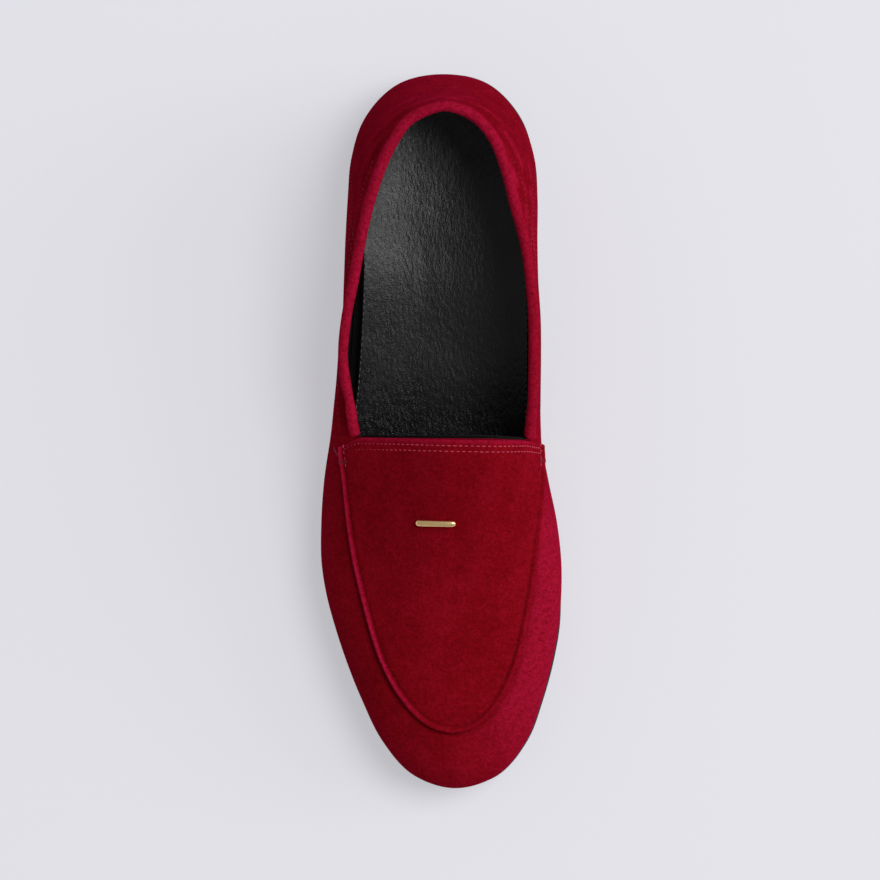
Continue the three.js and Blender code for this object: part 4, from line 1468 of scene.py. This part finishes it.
class LOAFER_OT_apron(bpy.types.Operator):
    """Apron over the instep with its raised seam"""

    bl_idname = "loafer.apron"
    bl_label = "Apron"

    def execute(self, context):
        half = [THROAT, THROAT + 0.012, THROAT + 0.03, THROAT + 0.055, THROAT + 0.1]
        half += list(np.arange(THROAT + 0.16, TOE - 1e-6, 1.0 / sizes().seam_steps)) + [TOE]
        qs = np.array(half + [ROUND - r for r in reversed(half[:-1])])
        rows = half_row(qs)
        # The back edge is rounded over its last mm.
        edge_gap = (rows - THROAT) * ROW_LENGTH
        round_off = 0.25 + 0.75 * np.sqrt(1 - (1 - np.clip(edge_gap, 0, 1)) ** 2)
        # The ridge gets painted highlight along the outer side; the groove gets painted shade
        # along the inner side.
        outer_side = smooth(19.5, 16.0, np.where(on_outer(qs), qs, 20))
        ridge_highlight = 0.05 + 0.95 * outer_side
        groove = 0.25 + 0.75 * smooth(18, 22, qs)
        grid = Grid()
        distances, heights = ridge()
        painted_light_across_ridge = np.interp(distances, *np.array(RIDGE_PAINTED_LIGHT).T)
        shares = [share_from_seam(qs, d + edge_inset(qs)) for d in distances]
        inner_rows = 30
        shares += [shares[-1] * (1 - k / inner_rows) for k in range(1, inner_rows)]
        layers = [apron_place(qs, share) for share in shares]
        crest = apron_place(qs, np.zeros(len(qs)))
        tops = []
        crest_ids = {}
        columns = []
        for c in range(len(qs)):
            ids = []
            for i, layer in enumerate(layers):
                painted_light = 0.0
                # Painted highlight on the ridge, painted shade at the edge and in the groove.
                if i < len(painted_light_across_ridge):
                    foot = groove[c] if distances[i] > 2 else 1.0
                    painted_light = painted_light_across_ridge[i] * (ridge_highlight[c] if painted_light_across_ridge[i] > 0 else foot)
                # Painted highlight along the apron's back edge at the throat.
                painted_light = max(painted_light, 0.4 * float(smooth(2.2, 0.3, edge_gap[c])))
                ids.append(grid.put(layer[c], (0.0, painted_light)))
                tops.append(heights[min(i, len(heights) - 1)] * round_off[c])
            key = round(min(rows[c], FAN_ROW), 4)
            if key not in crest_ids:
                crest_ids[key] = grid.put(crest[c])
                tops.append(heights[-1] * round_off[c])
            ids.append(crest_ids[key])
            columns.append(ids)
        for a, b in zip(columns, columns[1:]):
            for i in range(len(a) - 1):
                grid.face(a[i], b[i], b[i + 1], a[i + 1])
        base = np.array(grid.points)
        normals = grid.normals()
        tops = np.array(tops)[:, None]
        pillow = self.dimples(base)[:, None]
        outer = base + normals * (tops + APRON_GAP - pillow)
        inner = base + normals * APRON_GAP
        ring = [ids[0] for ids in columns] + columns[-1][1:] + columns[0][1:-1][::-1]
        points, faces = shell(grid, outer, inner, [ring])
        rub = np.array(grid.tags)[:, 1]
        add_piece("apron_suede", points, faces, suede(), ["apron"],
                  rub=np.concatenate([rub, 0 * rub]))
        return {"FINISHED"}

    def dimples(self, points):
        """The suede sinks a little round the ornament and along the throat's stitches."""
        x, s = points[:, 0], points[:, 1]
        d = np.hypot((x - ORNAMENT_PLACE[0]) / 9.0, (s - ORNAMENT_PLACE[1]) / 3.4)
        sink = 0.16 * np.exp(-(d ** 2) * 1.2)
        for gap in THROAT_ROWS:
            sink += 0.13 * np.exp(-(((s - THROAT_STATION - gap) / 0.7) ** 2))
        return sink


# Stitch lines on the quarters, measured from the side. Columns: s, z.
COLLAR_STITCH = [
    (38.6, 67.5), (52.6, 64.0), (59.3, 62.1), (79.1, 56.6), (90.2, 54.0), (106.1, 50.4),
    (118.3, 48.0), (130.2, 46.3), (141.8, 45.1), (150.6, 44.8),
]
COUNTER_STITCHES = [
    [(24.2, 17.4), (29.1, 24.3), (35.9, 31.5), (41.1, 38.0), (47.1, 44.5), (53.9, 50.5),
     (61.4, 55.6), (65.6, 58.6), (73.6, 64.9)],
    [(28.2, 17.4), (30.5, 21.0), (35.6, 26.3), (42.4, 32.7), (48.8, 39.5), (55.6, 46.0),
     (62.8, 52.3), (69.5, 56.3), (77.4, 61.9)],
    [(35.8, 17.4), (39.3, 20.1), (44.5, 26.6), (50.4, 32.2), (57.6, 39.0), (64.8, 44.2),
     (72.0, 51.0), (77.9, 55.8), (84.6, 61.4)],
]


def side_line(table, inner, lines):
    """Line of stitches on a quarter through (s, z) places, sunk into the suede."""
    out = []
    for s, z in through(table, 60):
        q, level = side_place(s, z, inner)
        p = upper_point(np.array([q]), level)[0]
        d = 0.02
        dq = upper_point(np.array([q + d]), level)[0] - upper_point(np.array([q - d]), level)[0]
        dv = (upper_point(np.array([q]), min(level + d, 2.99))[0]
              - upper_point(np.array([q]), level - d)[0])
        n = unit(np.cross(dv, dq))
        if n[0] * (1 if inner else -1) < 0:
            n = -n
        out.append(p - n * (STITCH_DEPTH + crease_depth(p[None], lines)[0]))
    return out


class LOAFER_OT_stitching(bpy.types.Operator):
    """Stitch rows on the apron, the quarters and the sock"""

    bl_idname = "loafer.stitching"
    bl_label = "Stitching"

    def execute(self, context):
        c = colours()
        size = sizes()
        pitch = size.stitch_pitch * 1000
        length = size.stitch_length * 1000
        radius = size.thread_radius * 1000
        rows = []
        for gap in THROAT_ROWS:
            row = THROAT + gap / ROW_LENGTH
            share = np.linspace(0.955, 0, 60)
            sunk = -0.08 - 0.2 * smooth(0.2, 0.8, share)
            left, _ = apron_top(np.full(60, row), share, sunk)
            right, _ = apron_top(np.full(60, ROUND - row), share, -0.1)
            rows.append(np.vstack([left, right[::-1][1:]]))
        r = np.linspace(THROAT + 0.03, THROAT + 0.56, 20)
        for q in (r, ROUND - r):
            rows.append(apron_top(q, share_from_seam(q, CORNER_ROW), -0.06)[0])
        stitch_rows("throat_stitches", rows, pitch, length, radius,
                    thread("sewing_thread", c.thread, shade(c.thread, 0.45)))

        lines = crease_lines()
        quarters = []
        for inner in (False, True):
            for table in [COLLAR_STITCH] + COUNTER_STITCHES:
                quarters.append(side_line(table, inner, lines))
        soft = thread("quarter_thread", c.quarter_thread, shade(c.quarter_thread, 0.5))
        stitch_rows("quarter_stitches", quarters, pitch, length * 0.9, radius * 0.9, soft)

        r = np.linspace(THROAT + 0.7, TOE, 200)
        loop = np.concatenate([r, ROUND - r[::-1][1:]])
        groove = apron_top(loop, share_from_seam(loop, GROOVE_THREAD), -0.24)[0]
        # Real thread, coloured near black as painted shade in the groove's stitch holes.
        dark = thread("seam_thread", (0.05, 0.0, 0.003, 1), (0.012, 0.0, 0.001, 1))
        stitch_rows("seam_stitches", [groove], pitch=3.0, length=1.5, radius=0.32,
                    material=dark)

        # Just inside the sock's rounded edge.
        edge = sock_ring(loop_columns(0.1), 0.036, SOCK_TOP + 0.01)
        grey = thread("sock_thread", (0.2, 0.2, 0.21, 1), (0.03, 0.03, 0.032, 1))
        stitch_rows("sock_stitches", [np.vstack([edge, edge[:1]])], pitch=2.6, length=1.7,
                    radius=0.22, material=grey)
        self.bar_tacks(thread("tack_thread", (0.27, 0.006, 0.028, 1), (0.13, 0.003, 0.01, 1)))
        return {"FINISHED"}

    def bar_tacks(self, twine):
        """Three hand-sewn threads over the seam at each corner of the apron."""
        lines = []
        for side in (-1, 1):
            for k in (-1, 0, 1):
                r = THROAT + 0.45 + k * 0.035
                q = ROUND - r if side > 0 else r
                start, end = (share_from_seam(q, inset) for inset in TACK_ENDS)
                top, _ = apron_top(np.full(10, q), np.linspace(start, end, 10), 0.02)
                down = []
                for t in np.linspace(0.25, 1, 6):
                    p = wall(np.array([q + side * 0.18 * t]), 2 - 0.24 * t)[0]
                    down.append(p + np.array([side * 0.35, 0, 0.1]) * (1 - 0.75 * t))
                lines.append(np.vstack([top, down]))
        stitch_rows("corner_tacks", lines, pitch=0.42, length=0.95, radius=0.26,
                    material=twine)


class LOAFER_OT_ornament(bpy.types.Operator):
    """Small gold bar on the apron"""

    bl_idname = "loafer.ornament"
    bl_label = "Ornament"

    def execute(self, context):
        x0, s0 = ORNAMENT_PLACE
        radius = ORNAMENT_RADIUS
        end = np.array([0.85, 0.9, 0.95, 0.98, 0.995, 1])
        k = np.concatenate([-end[::-1], np.linspace(-0.8, 0.8, 33), end])
        # Its ends are rounded over a fifth of its half length.
        reach = np.clip((1 - np.abs(k)) / 0.19, 0, 1)
        taper = np.sqrt(np.clip(1 - (1 - reach) ** 2, 0, 1)) * 0.999 + 0.001
        rows = np.linspace(THROAT, 16, 400)
        stations = crest_line(rows)[:, 1]

        def ground(x, s):
            """Point on the apron's top at (x, s), and the way out of it."""
            r = np.interp(s, stations, rows)
            cx = crest_line(np.array([r]))[0, 0]
            q = r if x < cx else ROUND - r
            p, n = apron_top(np.array([q]), np.array([(x - cx) / (shoulder(q)[0] - cx)]))
            return p[0], n[0]

        sides = 32
        angles = 2 * math.pi * np.arange(sides) / sides
        points = []
        for v, size in zip(k, taper):
            x = x0 + v * ORNAMENT_LENGTH / 2
            p, up = ground(x, s0)
            along = unit(ground(x + 0.3, s0)[0] - ground(x - 0.3, s0)[0])
            across = unit(np.cross(up, along))
            centre = p + up * (radius - 0.15)
            for a in angles:
                points.append(centre + (across * math.cos(a) + up * math.sin(a) * 0.9)
                              * radius * size)
        faces = band_faces(len(k), sides)
        faces += [tuple(range(sides)), tuple(range((len(k) - 1) * sides, len(k) * sides))]
        add_piece("ornament_bar", np.array(points), faces, finish(gold_finish, "gold_plate"),
                  ["ornament"])
        return {"FINISHED"}


class LOAFER_PT_panel(bpy.types.Panel):
    """Loafer sizes, colours and pieces"""

    bl_idname = "LOAFER_PT_panel"
    bl_label = "Loafer"
    bl_space_type = "VIEW_3D"
    bl_region_type = "UI"
    bl_category = "Loafer"

    def draw(self, context):
        column = self.layout.column()
        for group in (context.scene.loafer_sizes, context.scene.loafer_colours):
            for name in group.__annotations__:
                column.prop(group, name)
        for operator in OPERATORS:
            column.operator(operator.bl_idname)


OPERATORS = (
    LOAFER_OT_stage, LOAFER_OT_sole, LOAFER_OT_heel, LOAFER_OT_sock, LOAFER_OT_upper,
    LOAFER_OT_apron, LOAFER_OT_stitching, LOAFER_OT_ornament,
)
CLASSES = (LoaferSizes, LoaferColours) + OPERATORS + (LOAFER_PT_panel,)


def register():
    for cls in CLASSES:
        bpy.utils.register_class(cls)
    bpy.types.Scene.loafer_sizes = PointerProperty(type=LoaferSizes)
    bpy.types.Scene.loafer_colours = PointerProperty(type=LoaferColours)


def unregister():
    del bpy.types.Scene.loafer_colours
    del bpy.types.Scene.loafer_sizes
    for cls in reversed(CLASSES):
        bpy.utils.unregister_class(cls)


def main():
    register()
    for operator in OPERATORS:
        group, name = operator.bl_idname.split(".")
        getattr(getattr(bpy.ops, group), name)()


if __name__ == "__main__":
    main()
